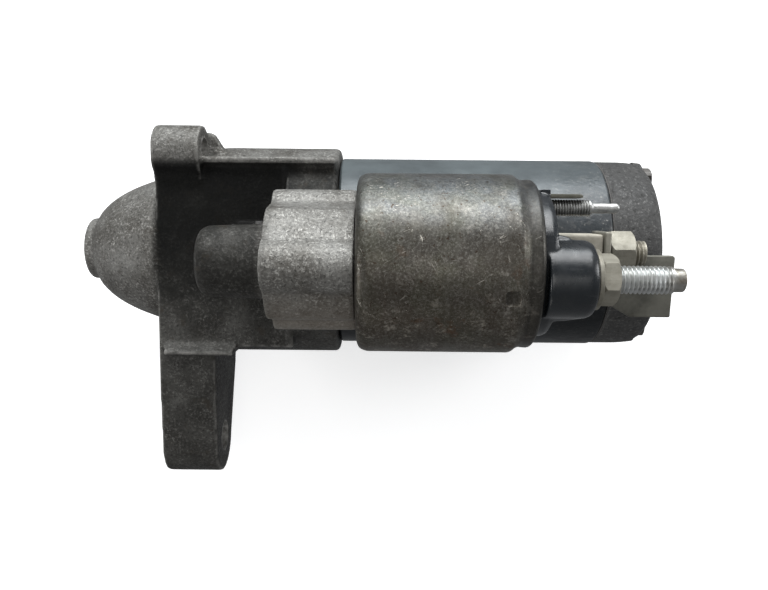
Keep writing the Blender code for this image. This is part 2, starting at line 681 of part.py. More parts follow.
def solenoid_can():
    """The deep-drawn can, its front wall bored for the plunger, its rear lip rolled over the cap."""
    can = turned([
        (CAN_X0, 10.2), (CAN_X0, 23.8), (CAN_X0 + 0.8, 25.6), (CAN_X0 + 2.8, CAN_R),
        (CAN_X1 - 6.4, CAN_R), (CAN_X1 - 4.2, 25.0), (CAN_X1 - 1.0, 25.0), (CAN_X1, 24.0),
        (CAN_X1, 22.0), (CAN_X1 - 1.4, 22.0), (CAN_X1 - 1.4, CAN_IN_R), (CAN_X0 + 2.8, CAN_IN_R),
        (CAN_X0 + 2.8, 10.2)], 0, SOL_Z, SMOOTH)
    holes = [cylinder(CAN_X0 - 1, CAN_X0 + 4, SCREW_HOLE_R, *lobe_centre(a), 20) for a in SCREW_ANGLES]
    return joined(can, cuts=holes)


def solenoid_coil():
    return turned([
        (75.2, 10.4), (75.2, CAN_FIT_R), (77, CAN_FIT_R), (77, 22.5), (105, 22.5),
        (105, CAN_FIT_R), (107, CAN_FIT_R),
        (107, 10.4)], 0, SOL_Z, MEDIUM)


def solenoid_core():
    """The fixed iron that the plunger is drawn to, bored for the contact rod."""
    return turned([
        (102.6, 2.9), (102.6, 9.7), (107.4, 9.7), (107.4, CAN_FIT_R), (112.4, CAN_FIT_R), (112.4, 2.9)],
        0, SOL_Z, MEDIUM)


def plunger():
    return turned([
        (72.6, 0), (72.6, 3.6), (60, 3.6), (60, 8.9), (60.8, PLUNGER_R), (91, PLUNGER_R), (91, 6.2),
        (80, 6.2), (80, 0)], 0, SOL_Z, MEDIUM)


def plunger_hook():
    """A flat bar with a window for the fork's tip, and a shank that goes into the plunger."""
    plate = box(28.9, 54, -5.9, 5.9, SOL_Z - 2, SOL_Z + 2)
    shank = cylinder(52, 71, 3.2, 0, SOL_Z, SMALL)
    window = box(30.3, 35.9, -3.8, 3.8, SOL_Z - 4, SOL_Z + 4)
    return joined(plate, [shank], [window])


def return_spring():
    return moved(helix(80.9, 101.9, 4.6, 0.55, 5.5, 8), Matrix.Translation((0, 0, SOL_Z)))


def contact_rod():
    return cylinder(89.2, CAP_FLOOR_X - 7.6, 2.2, 0, SOL_Z, SMALL)


def contact_disc():
    return tube(CAP_FLOOR_X - 7.3, CAP_FLOOR_X - 5.8, 2.5, 12.0, 0, SOL_Z, MEDIUM)


def solenoid_cap():
    """The moulded rear cap: a shallow cup with a thick boss for each main terminal."""
    cup = turned([
        (CAP_FLOOR_X, 0), (CAP_FLOOR_X, CAP_IN_R), (114.7, CAP_IN_R), (114.7, CAN_FIT_R),
        (CAN_X1 - 1.8, CAN_FIT_R),
        (CAN_X1 - 1.8, 21.4),
        (CAP_FACE_X - 0.8, 21.4), (CAP_FACE_X, 20.6), (CAP_FACE_X, 0)], 0, SOL_Z)
    inside = CAP_FACE_X - 2.6
    tower = turned([(inside, 0), (inside, 11), (136.6, 11), (137.6, 10.6), (138.2, 9.4), (138.2, 0)],
                   BATTERY_Y, BATTERY_Z, MEDIUM)
    skirt = rounded(box(inside, 137.0, -13.6, 7.0, 62, 77), 1.5, 2)
    seat = rounded(box(inside, SEAT_X1, MOTOR_Y - 6.5, MOTOR_Y + 6.0, MOTOR_Z - 6.5, MOTOR_Z + 6.5), 1.2, 2)
    block = rounded(box(inside, CAP_FACE_X + 0.8, TRIGGER_Y - 4.4, TRIGGER_Y + 5.2, 60.5, 71.5), 0.6, 1)
    far = SEAT_X1 + 3
    pocket = CAP_FACE_X - 2.4
    cuts = [cylinder(CAP_FLOOR_X - 2, far, STUD_R + 0.25, BATTERY_Y, BATTERY_Z, SMALL),
            cylinder(CAP_FLOOR_X - 2, far, STUD_R + 0.25, MOTOR_Y, MOTOR_Z, SMALL),
            cylinder(pocket, far, 2.75, TRIGGER_Y, TRIGGER_Z, SMALL),
            box(pocket, far, TAB_Y - 1.1, TAB_Y + 1.1, TRIGGER_Z - 3.4, TRIGGER_Z + 3.4)]
    return joined(cup, [tower, skirt, seat, block], cuts, "MANIFOLD")


def cap_gasket():
    """The rubber ring between the iron core and the cap."""
    return tube(112.7, 114.4, 20.0, 23.8, 0, SOL_Z, MEDIUM)


def solenoid_screw(degrees):
    """A screw whose head sits down in the bracket's lobe, seen from the nose only."""
    y, z = lobe_centre(degrees)
    head = turned([(48.2, 0), (48.2, 3.4), (49.0, 4.3), (51.6, 4.3), (51.6, 0)], y, z, SMALL)
    socket = cylinder(47, 50.2, 2.1, y, z, 6)
    return joined(head, [cylinder(51, 74.4, 2.5, y, z, 12)], [socket])


def main_stud(y, z, x1, dog):
    """A terminal stud: a flat contact head inside the cap, a shank, and a plain or dog point."""
    end = [(x1 - dog - 0.6, STUD_R), (x1 - dog, 3.3), (x1 - 0.5, 3.3), (x1, 2.8)] if dog else [
        (x1 - 1.0, STUD_R), (x1, 3.2)]
    x0 = CAP_FLOOR_X - 3.2
    head = [(x0, 0), (x0, 5.5), (x0 + 2.9, 5.5), (x0 + 2.9, STUD_R)]
    return turned(head + end + [(x1, 0)], y, z, SMALL)


def nut(x0, x1, y, z, across_corners):
    """A hexagon nut with its corners turned down at both ends."""
    r = across_corners / 2
    body = cylinder(x0, x1, r, y, z, 6)
    hole = cylinder(x0 - 1, x1 + 1, STUD_R + 0.3, y, z, SMALL)
    trim = turned([
        (x0 - 1, r * 1.3), (x0 - 1, r * 0.84), (x0, r * 0.88), (x0 + 0.9, r * 1.02), (x1 - 0.9, r * 1.02),
        (x1, r * 0.88), (x1 + 1, r * 0.84), (x1 + 1, r * 1.3)], y, z, SMALL)
    return joined(body, cuts=[hole, trim])


def battery_washer():
    return tube(138.5, 139.8, STUD_R + 0.3, 8.6, BATTERY_Y, BATTERY_Z, MEDIUM)


def trigger_stud():
    """A small threaded terminal with a thin pin ahead of the thread."""
    x0 = CAP_FACE_X - 2.1
    return turned([
        (x0, 0), (x0, 2.5), (140.4, 2.5), (141.0, 1.9), (141.4, 1.35), (146.6, 1.35), (147.2, 1.7),
        (148.6, 1.7), (149.2, 1.2), (149.2, 0)], TRIGGER_Y, TRIGGER_Z, SMALL)


def trigger_tab():
    """The flat blade beside the trigger stud, a little thicker at its root in the cap."""
    root_y, blade_y, tip_y = 0.8, 0.6, 0.4
    blade_z, tip_z = 3.1, 2.5
    x0 = CAP_FACE_X - 2.1
    stations = ((x0, root_y, blade_z), (x0 + 3.2, root_y, blade_z), (x0 + 3.5, blade_y, blade_z),
                (x0 + 11.9, blade_y, blade_z), (x0 + 13.0, tip_y, tip_z))
    loops = [[(x, TAB_Y + sy * y, TRIGGER_Z + sz * z) for sy, sz in ((-1, -1), (1, -1), (1, 1), (-1, 1))]
             for x, y, z in stations]
    return solid_from_loops(loops)


def motor_lead():
    """The strap from the motor stud, along the yoke, and down through the grommet to the brushes."""
    tab = rounded(box(147.3, 149.4, -4.5, 9.6, 44.2, 60.0), 0.5, 1)
    plate = rounded(box(147.3, 174.5, -18.5, 1.8, 44.2, 46.2), 0.5, 1)
    drop = box(164.0, 168.0, -11.0, -7.0, 27.5, 45.0)
    hole = cylinder(146, 150.5, STUD_R + 0.3, MOTOR_Y, MOTOR_Z, SMALL)
    return joined(plate, [tab, drop], [hole])


def lead_grommet():
    """The rubber block in the cover's wall that the lead passes through."""
    block = rounded(box(GROMMET_X0, GROMMET_X1, GROMMET_Y0, GROMMET_Y1, 28.5, 43.8), 0.8, 1)
    return joined(block, cuts=[box(163.6, 168.4, -11.4, -6.6, 20, 50)])


# ---------------------------------------------------------------- assembly

def fixed_pieces():
    finish("drive_end_housing", drive_end_housing(), "cast_dark", angle=40)
    place("nose_bush", nose_bush(), "bronze")
    place("yoke", yoke(), "yoke_paint")
    finish("rear_cover", rear_cover(), "cover_cast")
    finish("through_bolt_1", through_bolt(1), "steel_dark")
    finish("through_bolt_2", through_bolt(-1), "steel_dark")
    for n in range(4):
        place(f"magnet_{n + 1}", magnet(n), "ferrite")
    finish("brush_holder", brush_holder(), "nylon")
    for n in range(BRUSHES):
        place(f"brush_{n + 1}", brush(n), "carbon")
        place(f"brush_spring_{n + 1}", brush_spring(n), "steel_bright")
    place("rear_bush", rear_bush(), "bronze")
    finish("gear_plate", gear_plate(), "steel_dark")
    finish("ring_gear", ring_gear(), "nylon")
    place("fork_pin", fork_pin(), "steel_bright")
    place("lever_seal", lever_seal(), "rubber")


def solenoid_pieces():
    finish("solenoid_can", solenoid_can(), "can_steel")
    place("solenoid_coil", solenoid_coil(), "enamel")
    place("solenoid_core", solenoid_core(), "steel_dark")
    finish("solenoid_cap", solenoid_cap(), "black_plastic")
    place("cap_gasket", cap_gasket(), "rubber")
    for n, degrees in enumerate(SCREW_ANGLES):
        finish(f"solenoid_screw_{n + 1}", solenoid_screw(degrees), "steel_dark")
    place("battery_stud", main_stud(BATTERY_Y, BATTERY_Z, 164.2, 3.5), "zinc_bright")
    place("battery_washer", battery_washer(), "zinc_yellow")
    finish("battery_nut", nut(140.1, 144.9, BATTERY_Y, BATTERY_Z, 15.2), "zinc_yellow")
    place("motor_stud", main_stud(MOTOR_Y, MOTOR_Z, 161.5, 0), "zinc_yellow")
    finish("motor_nut", nut(149.7, 157.4, MOTOR_Y, MOTOR_Z, 15.0), "zinc_yellow")
    place("trigger_stud", trigger_stud(), "zinc_bright")
    place("trigger_tab", trigger_tab(), "steel_dark")
    finish("motor_lead", motor_lead(), "zinc_yellow")
    finish("lead_grommet", lead_grommet(), "rubber")


def armature_pieces():
    axis = axis_empty("armature_axis", (0, 0, 0))
    finish("armature_shaft", armature_shaft(), "gear_steel", parent=axis)
    finish("armature_core", armature_core(), "steel_dark", parent=axis)
    finish("armature_winding", armature_winding(), "copper", parent=axis)
    finish("commutator", commutator(), "copper", parent=axis)


def drive_pieces():
    shaft_axis = axis_empty("drive_axis", (0, 0, 0))
    finish("drive_shaft", drive_shaft(), "gear_steel", parent=shaft_axis)
    place("stop_ring", stop_ring(), "steel_dark", parent=shaft_axis)
    for n in range(PLANETS):
        centre = (65.6, *planet_centre(n))
        finish(f"planet_gear_{n + 1}", planet_gear(n), "gear_steel", centre, shaft_axis)
    slide_axis = axis_empty("clutch_axis", (0, 0, 0), shaft_axis)
    place("clutch_shell", clutch_shell(), "gear_steel", parent=slide_axis)
    place("shift_collar", shift_collar(), "nylon", parent=slide_axis)
    finish("pinion", pinion(), "gear_steel", parent=slide_axis)


def shift_pieces():
    plunger_axis = axis_empty("plunger_axis", (60, 0, SOL_Z))
    place("plunger", plunger(), "steel_bright", (60, 0, SOL_Z), plunger_axis)
    finish("plunger_hook", plunger_hook(), "steel_dark", (60, 0, SOL_Z), plunger_axis)
    place("return_spring", return_spring(), "steel_bright", (101.9, 0, SOL_Z))
    contact_axis = axis_empty("contact_axis", (119, 0, SOL_Z))
    place("contact_rod", contact_rod(), "nylon", (119, 0, SOL_Z), contact_axis)
    place("contact_disc", contact_disc(), "copper", (119, 0, SOL_Z), contact_axis)
    finish("fork_lever", fork_lever(), "steel_dark", (FORK_PIVOT_X, 0, FORK_PIVOT_Z))


def clear_scene():
    for existing in list(bpy.data.objects):
        bpy.data.objects.remove(existing)


clear_scene()
MATERIALS = {name: material(name, *look) for name, look in LOOKS.items()}
fixed_pieces()
solenoid_pieces()
armature_pieces()
drive_pieces()
shift_pieces()
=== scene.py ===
"""Looks of the starter motor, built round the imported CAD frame.

Shapes are drawn in millimetres in the row frame (+X nose to rear, +Z to the solenoid) and
scaled to metres when a piece is made. Places come from the frame's own boxes.
"""

import json
import math

import bmesh
import bpy
from mathutils import Matrix, Vector


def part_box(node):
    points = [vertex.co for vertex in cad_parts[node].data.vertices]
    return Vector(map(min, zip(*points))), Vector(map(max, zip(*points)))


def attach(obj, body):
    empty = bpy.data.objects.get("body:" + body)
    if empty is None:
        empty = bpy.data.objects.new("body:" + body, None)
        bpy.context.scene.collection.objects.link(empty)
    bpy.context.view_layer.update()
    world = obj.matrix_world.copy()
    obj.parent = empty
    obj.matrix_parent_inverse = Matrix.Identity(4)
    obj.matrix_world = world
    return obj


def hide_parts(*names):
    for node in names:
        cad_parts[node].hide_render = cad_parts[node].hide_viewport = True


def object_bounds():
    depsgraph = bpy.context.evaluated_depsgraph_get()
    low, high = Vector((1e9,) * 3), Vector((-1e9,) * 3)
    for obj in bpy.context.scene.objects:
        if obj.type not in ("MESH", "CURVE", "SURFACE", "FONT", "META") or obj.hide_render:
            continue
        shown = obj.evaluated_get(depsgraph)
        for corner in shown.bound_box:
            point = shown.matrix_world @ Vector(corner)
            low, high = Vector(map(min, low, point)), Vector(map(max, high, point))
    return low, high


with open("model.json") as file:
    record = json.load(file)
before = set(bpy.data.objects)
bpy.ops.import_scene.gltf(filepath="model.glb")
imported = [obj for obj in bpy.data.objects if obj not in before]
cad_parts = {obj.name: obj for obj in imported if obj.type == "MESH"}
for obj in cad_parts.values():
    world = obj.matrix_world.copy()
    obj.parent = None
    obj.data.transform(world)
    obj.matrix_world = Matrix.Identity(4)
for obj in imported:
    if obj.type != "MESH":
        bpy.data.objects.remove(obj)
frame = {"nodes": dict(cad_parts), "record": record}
CAD_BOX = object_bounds()
MM = 0.001


# ---------------------------------------------------------------- places read from the frame

def span(node):
    """The node's lowest and highest corners, in millimetres."""
    low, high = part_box(node)
    return Vector(low) / MM, Vector(high) / MM


def axis_of(node):
    """(y, z) of the middle of a round node that lies along X."""
    low, high = span(node)
    return (low.y + high.y) / 2, (low.z + high.z) / 2


YOKE_LOW, YOKE_HIGH = span("yoke")
COVER_LOW, COVER_HIGH = span("rear_cover")
CAN_LOW, CAN_HIGH = span("solenoid_can")
CAP_LOW, CAP_HIGH = span("solenoid_cap")
HOUSE_LOW = span("drive_end_housing")[0]
YOKE_R = YOKE_HIGH.y
COVER_R = COVER_HIGH.y
CAN_R = (CAN_HIGH.y - CAN_LOW.y) / 2
SOL_Z = axis_of("solenoid_can")[1]
BATTERY = axis_of("battery_washer")
MOTOR = axis_of("motor_stud")
TRIGGER = axis_of("trigger_stud")
TAB = axis_of("trigger_tab")
HOUSING_X1 = YOKE_LOW.x - 0.3
SCREW_HEAD_R = 4.3
SCREW_RING_R = span("solenoid_screw_1")[1].z - SCREW_HEAD_R - SOL_Z
SCREW_ANGLES = (90.0, 210.0, 330.0)
BOLT_Y = axis_of("through_bolt_1")[0]

# Sizes of the casting that no other node gives
HOUSING_R = 38.5
HOUSING_STEP_X = 19.0
FLANGE_BODY_R = 34.0
RECESS_Z, RECESS_Y0, RECESS_Y1, RECESS_X1 = 26.0, -33.2, 31.0, 46.0
COLUMN_X0, COLUMN_Y = 28.5, 10.4
BRACKET_X0 = 46.0
LOBE_R = 7.4
DOME_X0, DOME_R = 25.0, 10.7
HUB_R = 11.6
EAR_Y, EAR_Z, EAR_R, EAR_X1 = 35.0, 22.0, 9.5, 16.5
LEG_Y, LEG_Z, LEG_R, LEG_X1 = -70.0, 12.0, 13.0, 20.0
MOUNT_HOLE_R = 5.3
SCREW_HOLE_R, PIN_HOLE_R = 2.9, 2.9

# Studs, with the thread pitches of the two big ones and the small one
STUD_R, SMALL_STUD_R = 4.0, 2.5
M8_PITCH, M5_PITCH = 1.25, 0.8

# Where the can's flat mark is, in degrees round from its top
FLAT_ANGLE = 17.0

# The strap's foot in the grommet (x0, x1, y0, y1), the room round it, and how far the plate is above its end
FOOT_X0, FOOT_X1, FOOT_Y0, FOOT_Y1 = 164.0, 168.0, -11.0, -7.0
FOOT_ROOM = 0.4
STRAP_RISE = 16.7

# Sides of a turned piece, by its size
FINE, ROUND, SMALL = 160, 96, 40


# ---------------------------------------------------------------- mesh helpers

def closed_outward(bm):
    bmesh.ops.remove_doubles(bm, verts=bm.verts, dist=1e-5)
    bmesh.ops.recalc_face_normals(bm, faces=bm.faces)
    return bm


def loft(loops):
    """A closed solid through loops of points, with its ends filled."""
    bm = bmesh.new()
    rows = [[bm.verts.new(p) for p in loop] for loop in loops]
    count = len(rows[0])
    for low, high in zip(rows, rows[1:]):
        for i in range(count):
            j = (i + 1) % count
            bm.faces.new((low[i], low[j], high[j], high[i]))
    bm.faces.new(rows[0])
    bm.faces.new(rows[-1])
    return closed_outward(bm)


def prism(outline, x0, x1):
    return loft([[(x, y, z) for y, z in outline] for x in (x0, x1)])


def box(x0, x1, y0, y1, z0, z1):
    return prism([(y0, z0), (y1, z0), (y1, z1), (y0, z1)], x0, x1)


def fillet(points, radius, steps=4):
    """The same open outline with every inner corner turned into a small arc."""
    out = [points[0]]
    for a, b, c in zip(points, points[1:], points[2:]):
        pa, pb, pc = Vector(a), Vector(b), Vector(c)
        to_a, to_c = pa - pb, pc - pb
        reach = min(radius, to_a.length * 0.45, to_c.length * 0.45)
        start = pb + to_a.normalized() * reach
        end = pb + to_c.normalized() * reach
        for i in range(steps + 1):
            t = i / steps
            out.append(tuple(start * (1 - t) ** 2 + pb * 2 * t * (1 - t) + end * t * t))
    out.append(points[-1])
    return out


def turned(profile, y=0.0, z=0.0, segments=ROUND):
    """A solid of revolution about the line along X at (y, z)."""
    ring_shaped = all(r > 0 for _, r in profile)
    bm = bmesh.new()
    rings = []
    for x, r in profile:
        if r <= 0:
            rings.append([bm.verts.new((x, y, z))])
            continue
        turns = (math.tau * (i + 0.5) / segments for i in range(segments))
        rings.append([bm.verts.new((x, y + r * math.cos(a), z + r * math.sin(a))) for a in turns])
    pairs = list(zip(rings, rings[1:]))
    if ring_shaped:
        pairs.append((rings[-1], rings[0]))
    for low, high in pairs:
        if len(low) == 1 and len(high) == 1:
            continue
        for i in range(segments):
            j = (i + 1) % segments
            corners = [low[i % len(low)], low[j % len(low)], high[j % len(high)], high[i % len(high)]]
            bm.faces.new(list(dict.fromkeys(corners)))
    return closed_outward(bm)


def finer(points, step):
    """The same outline with its long runs cut into short ones, so that wear can vary along them."""
    out = [points[0]]
    for a, b in zip(points, points[1:]):
        parts = max(1, round((Vector(b) - Vector(a)).length / step))
        out += [tuple(Vector(a).lerp(Vector(b), k / parts)) for k in range(1, parts + 1)]
    return out


def soft_turned(profile, radius, y=0.0, z=0.0, segments=ROUND):
    """A turned solid with its outline's corners rounded."""
    return turned(fillet(profile, radius), y, z, segments)


def cylinder(x0, x1, r, y=0.0, z=0.0, segments=SMALL):
    return turned([(x0, 0), (x0, r), (x1, r), (x1, 0)], y, z, segments)


def pin_along_y(x, z, r, y0, y1, segments=SMALL):
    turns = [math.tau * i / segments for i in range(segments)]
    return loft([[(x + r * math.cos(a), y, z + r * math.sin(a)) for a in turns] for y in (y0, y1)])


def arc(cy, cz, r, a0, a1, steps):
    turns = (math.radians(a0 + (a1 - a0) * i / steps) for i in range(steps + 1))
    return [(cy + r * math.cos(a), cz + r * math.sin(a)) for a in turns]


def hexagon(y, z, r, twist):
    """The outline of a hexagon about (y, z), turned by so many degrees."""
    turns = (math.radians(60 * i + twist) for i in range(6))
    return [(y + r * math.cos(a), z + r * math.sin(a)) for a in turns]


def rounded(bm, width, segments=3):
    """The solid with every edge bevelled."""
    bmesh.ops.bevel(bm, geom=bm.edges[:], offset=width, segments=segments, profile=0.5, affect="EDGES")
    return closed_outward(bm)


def moved(bm, matrix):
    bmesh.ops.transform(bm, matrix=matrix, verts=bm.verts)
    return bm


def placed(name, data):
    """A new object in the scene that holds the data."""
    made = bpy.data.objects.new(name, data)
    bpy.context.scene.collection.objects.link(made)
    return made


def mesh_of(name, bm):
    mesh = bpy.data.meshes.new(name)
    bm.to_mesh(mesh)
    bm.free()
    return mesh


def scratch(bm):
    return placed("scratch", mesh_of("scratch", bm))


def evaluated(holder, *helpers):
    """The mesh that an object's modifiers give; the object and its helpers are then removed."""
    bpy.context.view_layer.update()
    graph = bpy.context.evaluated_depsgraph_get()
    mesh = bpy.data.meshes.new_from_object(holder.evaluated_get(graph))
    for used in (holder, *helpers):
        bpy.data.objects.remove(used)
    bm = bmesh.new()
    bm.from_mesh(mesh)
    bpy.data.meshes.remove(mesh)
    return bm


def combined(base, adds=(), cuts=(), keeps=()):
    """The base with solids added, cut away, or kept only where they meet it."""
    holder = scratch(base)
    helpers = []
    for operation, tools in (("UNION", adds), ("DIFFERENCE", cuts), ("INTERSECT", keeps)):
        for tool in tools:
            helpers.append(scratch(tool))
            step = holder.modifiers.new(operation, "BOOLEAN")
            step.operation = operation
            step.solver = "MANIFOLD"
            step.object = helpers[-1]
    return evaluated(holder, *helpers)


def melted(bm, voxel, passes):
    """The shape as a casting or moulding has it: every corner and joint softly rounded."""
    holder = scratch(bm)
    remesh = holder.modifiers.new("voxels", "REMESH")
    remesh.mode = "VOXEL"
    remesh.voxel_size = voxel
    smooth = holder.modifiers.new("soften", "SMOOTH")
    smooth.factor = 0.5
    smooth.iterations = passes
    return evaluated(holder)


def piece(name, bm, look, body="root", replaces=None, angle=32.0):
    """Finishes a shape drawn in millimetres: scale, shading, material, body."""
    bmesh.ops.triangulate(bm, faces=[f for f in bm.faces if len(f.verts) > 4])
    mesh = mesh_of(name, bm)
    mesh.transform(Matrix.Scale(MM, 4))
    mesh.shade_smooth()
    mesh.set_sharp_from_angle(angle=math.radians(angle))
    mesh.materials.append(LOOKS[look])
    made = placed(name, mesh)
    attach(made, body)
    if replaces:
        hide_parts(replaces)
    return made


# The material slot that the record gives each node
SLOT_OF = {entry["node"]: entry["material_slot"] for entry in frame["record"]["subparts"]}


# ---------------------------------------------------------------- materials

class Nodes:
    """A short way to write a material's node tree."""

    def __init__(self, name):
        self.material = bpy.data.materials.new(name)
        self.material.use_nodes = True
        self.tree = self.material.node_tree
        self.shader = self.tree.nodes["Principled BSDF"]
        self.place = self.tree.nodes.new("ShaderNodeTexCoord").outputs["Object"]

    def add(self, kind, **sockets):
        node = self.tree.nodes.new(kind)
        for key, value in sockets.items():
            self.put(node.inputs[key.replace("_", " ")], value)
        return node

    def put(self, socket, value):
        if isinstance(value, bpy.types.NodeSocket):
            self.tree.links.new(value, socket)
        else:
            socket.default_value = value

    def stretched(self, x, y, z):
        node = self.add("ShaderNodeMapping", Vector=self.place)
        node.inputs["Scale"].default_value = (x, y, z)
        return node.outputs[0]

    def turned_stretch(self, degrees, along, across):
        """Stretched along a direction that is turned from X in the plane seen from above."""
        node = self.add("ShaderNodeMapping", Vector=self.place)
        node.vector_type = "TEXTURE"
        node.inputs["Rotation"].default_value = (0.0, 0.0, math.radians(degrees))
        node.inputs["Scale"].default_value = (1 / along, 1 / across, 1 / across)
        return node.outputs[0]

    def noise(self, size_mm, detail=4.0, rough=0.55, place=None, twist=0.0):
        node = self.add("ShaderNodeTexNoise", Vector=place or self.place, Scale=1 / (size_mm * MM),
                        Detail=detail, Roughness=rough, Distortion=twist)
        return node.outputs["Fac"]

    def ramp(self, fac, *stops):
        """Stops are (place, value) or (place, (r, g, b))."""
        node = self.add("ShaderNodeValToRGB", Fac=fac)
        marks = node.color_ramp.elements
        while len(marks) < len(stops):
            marks.new(0.5)
        for mark, (where, value) in zip(marks, stops):
            mark.position = where
            colour = (value,) * 3 if isinstance(value, (int, float)) else value
            mark.color = (*colour, 1.0)
        return node.outputs["Color"]

    def mix(self, fac, a, b, kind="MIX"):
        node = self.tree.nodes.new("ShaderNodeMix")
        node.data_type = "RGBA"
        node.blend_type = kind
        for index, value in ((0, fac), (6, a), (7, b)):
            if isinstance(value, tuple) and len(value) == 3:
                value = (*value, 1.0)
            self.put(node.inputs[index], value)
        return node.outputs[2]

    def calc(self, operation, a, b):
        node = self.tree.nodes.new("ShaderNodeMath")
        node.operation = operation
        self.put(node.inputs[0], a)
        self.put(node.inputs[1], b)
        return node.outputs[0]

    def times(self, a, b):
        return self.calc("MULTIPLY", a, b)

    def along(self, axis, low_mm, high_mm):
        """From 0 to 1 between two places along a row axis."""
        parts = self.add("ShaderNodeSeparateXYZ", Vector=self.place)
        node = self.add("ShaderNodeMapRange")
        self.put(node.inputs["Value"], parts.outputs[axis])
        node.inputs["From Min"].default_value = low_mm * MM
        node.inputs["From Max"].default_value = high_mm * MM
        return node.outputs[0]

    def edges(self, low=0.5, high=0.56):
        """Bright on outer edges and worn corners."""
        point = self.add("ShaderNodeNewGeometry").outputs["Pointiness"]
        return self.ramp(point, (low, 0.0), (high, 1.0))

    def hollows(self, low=0.42, high=0.5):
        """Bright in inner corners and thread roots."""
        point = self.add("ShaderNodeNewGeometry").outputs["Pointiness"]
        return self.ramp(point, (low, 1.0), (high, 0.0))

    def bump(self, height, depth_mm, normal=None):
        node = self.add("ShaderNodeBump", Height=height, Distance=depth_mm * MM)
        node.inputs["Strength"].default_value = 1.0
        if normal:
            self.put(node.inputs["Normal"], normal)
        return node.outputs[0]

    def done(self, colour, roughness, metallic, normal=None):
        self.put(self.shader.inputs["Base Color"], colour)
        self.put(self.shader.inputs["Roughness"], roughness)
        self.put(self.shader.inputs["Metallic"], metallic)
        if normal:
            self.put(self.shader.inputs["Normal"], normal)
        return self.material


DUST = (0.350, 0.330, 0.280)
OLD_OIL = (0.010, 0.009, 0.008)


def cast_metal():
    """Sand-textured aluminium: light on the bracket and nose, a painted highlight on the ear-side rim, black
    with oil and painted shade in the recess.
    """
    n = Nodes("cast_aluminium_worn")
    grain = n.noise(1.1, 3.0, 0.6)
    clouds = n.noise(16.0, 5.0, 0.6)
    light = n.mix(n.ramp(clouds, (0.35, 0.0), (0.65, 1.0)), (0.078, 0.072, 0.062), (0.185, 0.182, 0.170))
    dark = n.mix(n.ramp(clouds, (0.35, 0.0), (0.68, 1.0)), (0.0060, 0.0062, 0.0056), (0.024, 0.023, 0.020))
    on_bracket = n.times(n.along("Z", 34.0, 50.0), n.along("X", 42.0, 49.0))
    on_dome = n.times(n.along("Z", 50.0, 72.0), 0.08)
    on_low = n.times(n.along("Y", -8.0, -26.0), 0.17)
    on_nose = n.times(n.along("X", 0.5, -2.5), 0.80)
    # Painted highlight: the ear-side rim is made paler, standing for light catching its top edge
    rim_highlight = n.times(n.along("Y", 29.5, 33.0), 0.66)
    # The pale mask: clean metal on the bracket, dome and nose, plus the painted highlight on the rim
    clean_plus_highlight = n.calc("MAXIMUM", n.calc("MAXIMUM", on_bracket, on_dome), n.calc("MAXIMUM", on_nose, rim_highlight))
    clean_plus_highlight = n.calc("MAXIMUM", clean_plus_highlight, on_low)
    patches = n.ramp(n.noise(7.0, 5.0, 0.65), (0.46, 0.0), (0.72, 0.16))
    base = n.mix(n.calc("MINIMUM", n.calc("ADD", clean_plus_highlight, patches), 1.0), dark, light)
    lit = n.ramp(n.noise(0.85, 4.0, 0.75), (0.50, 0.0), (0.66, 1.0))
    lit = n.times(lit, n.ramp(n.noise(5.5, 3.0, 0.6), (0.38, 0.25), (0.62, 1.0)))
    base = n.mix(n.times(lit, n.calc("ADD", n.times(clean_plus_highlight, 0.66), 0.09)),
                 base, (0.50, 0.49, 0.46))
    base = n.mix(n.ramp(n.noise(0.9, 4.0, 0.7), (0.30, 0.90), (0.47, 0.0)), base, OLD_OIL)
    oily = n.ramp(n.noise(5.0, 4.0, 0.6), (0.58, 0.0), (0.70, 0.55))
    base = n.mix(oily, base, (0.030, 0.024, 0.017))
    tan = n.times(on_bracket, n.along("Y", -5.0, -17.0))
    base = n.mix(n.times(tan, 0.45), base, (0.215, 0.180, 0.140))
    # Oil grime and painted shade: the recess floor and walls are darkened to near black
    along_recess = n.times(n.along("X", -0.5, 1.5), n.along("X", 52.0, 46.0))
    oil_and_recess_shade = n.times(n.along("Z", 48.0, 40.0), along_recess)
    oil_and_recess_shade = n.times(oil_and_recess_shade, n.times(n.along("Y", -20.0, 8.0), n.along("Y", 32.5, 30.5)))
    base = n.mix(n.times(oil_and_recess_shade, 0.80), base, (0.0020, 0.0022, 0.0020))
    base = n.mix(n.times(n.hollows(0.40, 0.49), 0.85), base, OLD_OIL)
    worn = n.times(n.edges(0.515, 0.60), n.ramp(n.noise(3.0), (0.35, 0.15), (0.6, 0.85)))
    base = n.mix(worn, base, (0.42, 0.41, 0.385))
    rough = n.ramp(grain, (0.3, 0.72), (0.7, 0.42))
    height = n.mix(0.45, n.noise(0.85, 4.0, 0.65), n.noise(2.6, 2.0, 0.5))
    gleam = n.calc("ADD", n.times(clean_plus_highlight, 0.38), 0.12)
    n.put(n.shader.inputs["Specular IOR Level"], gleam)
    return n.done(base, rough, gleam, n.bump(height, 0.46))


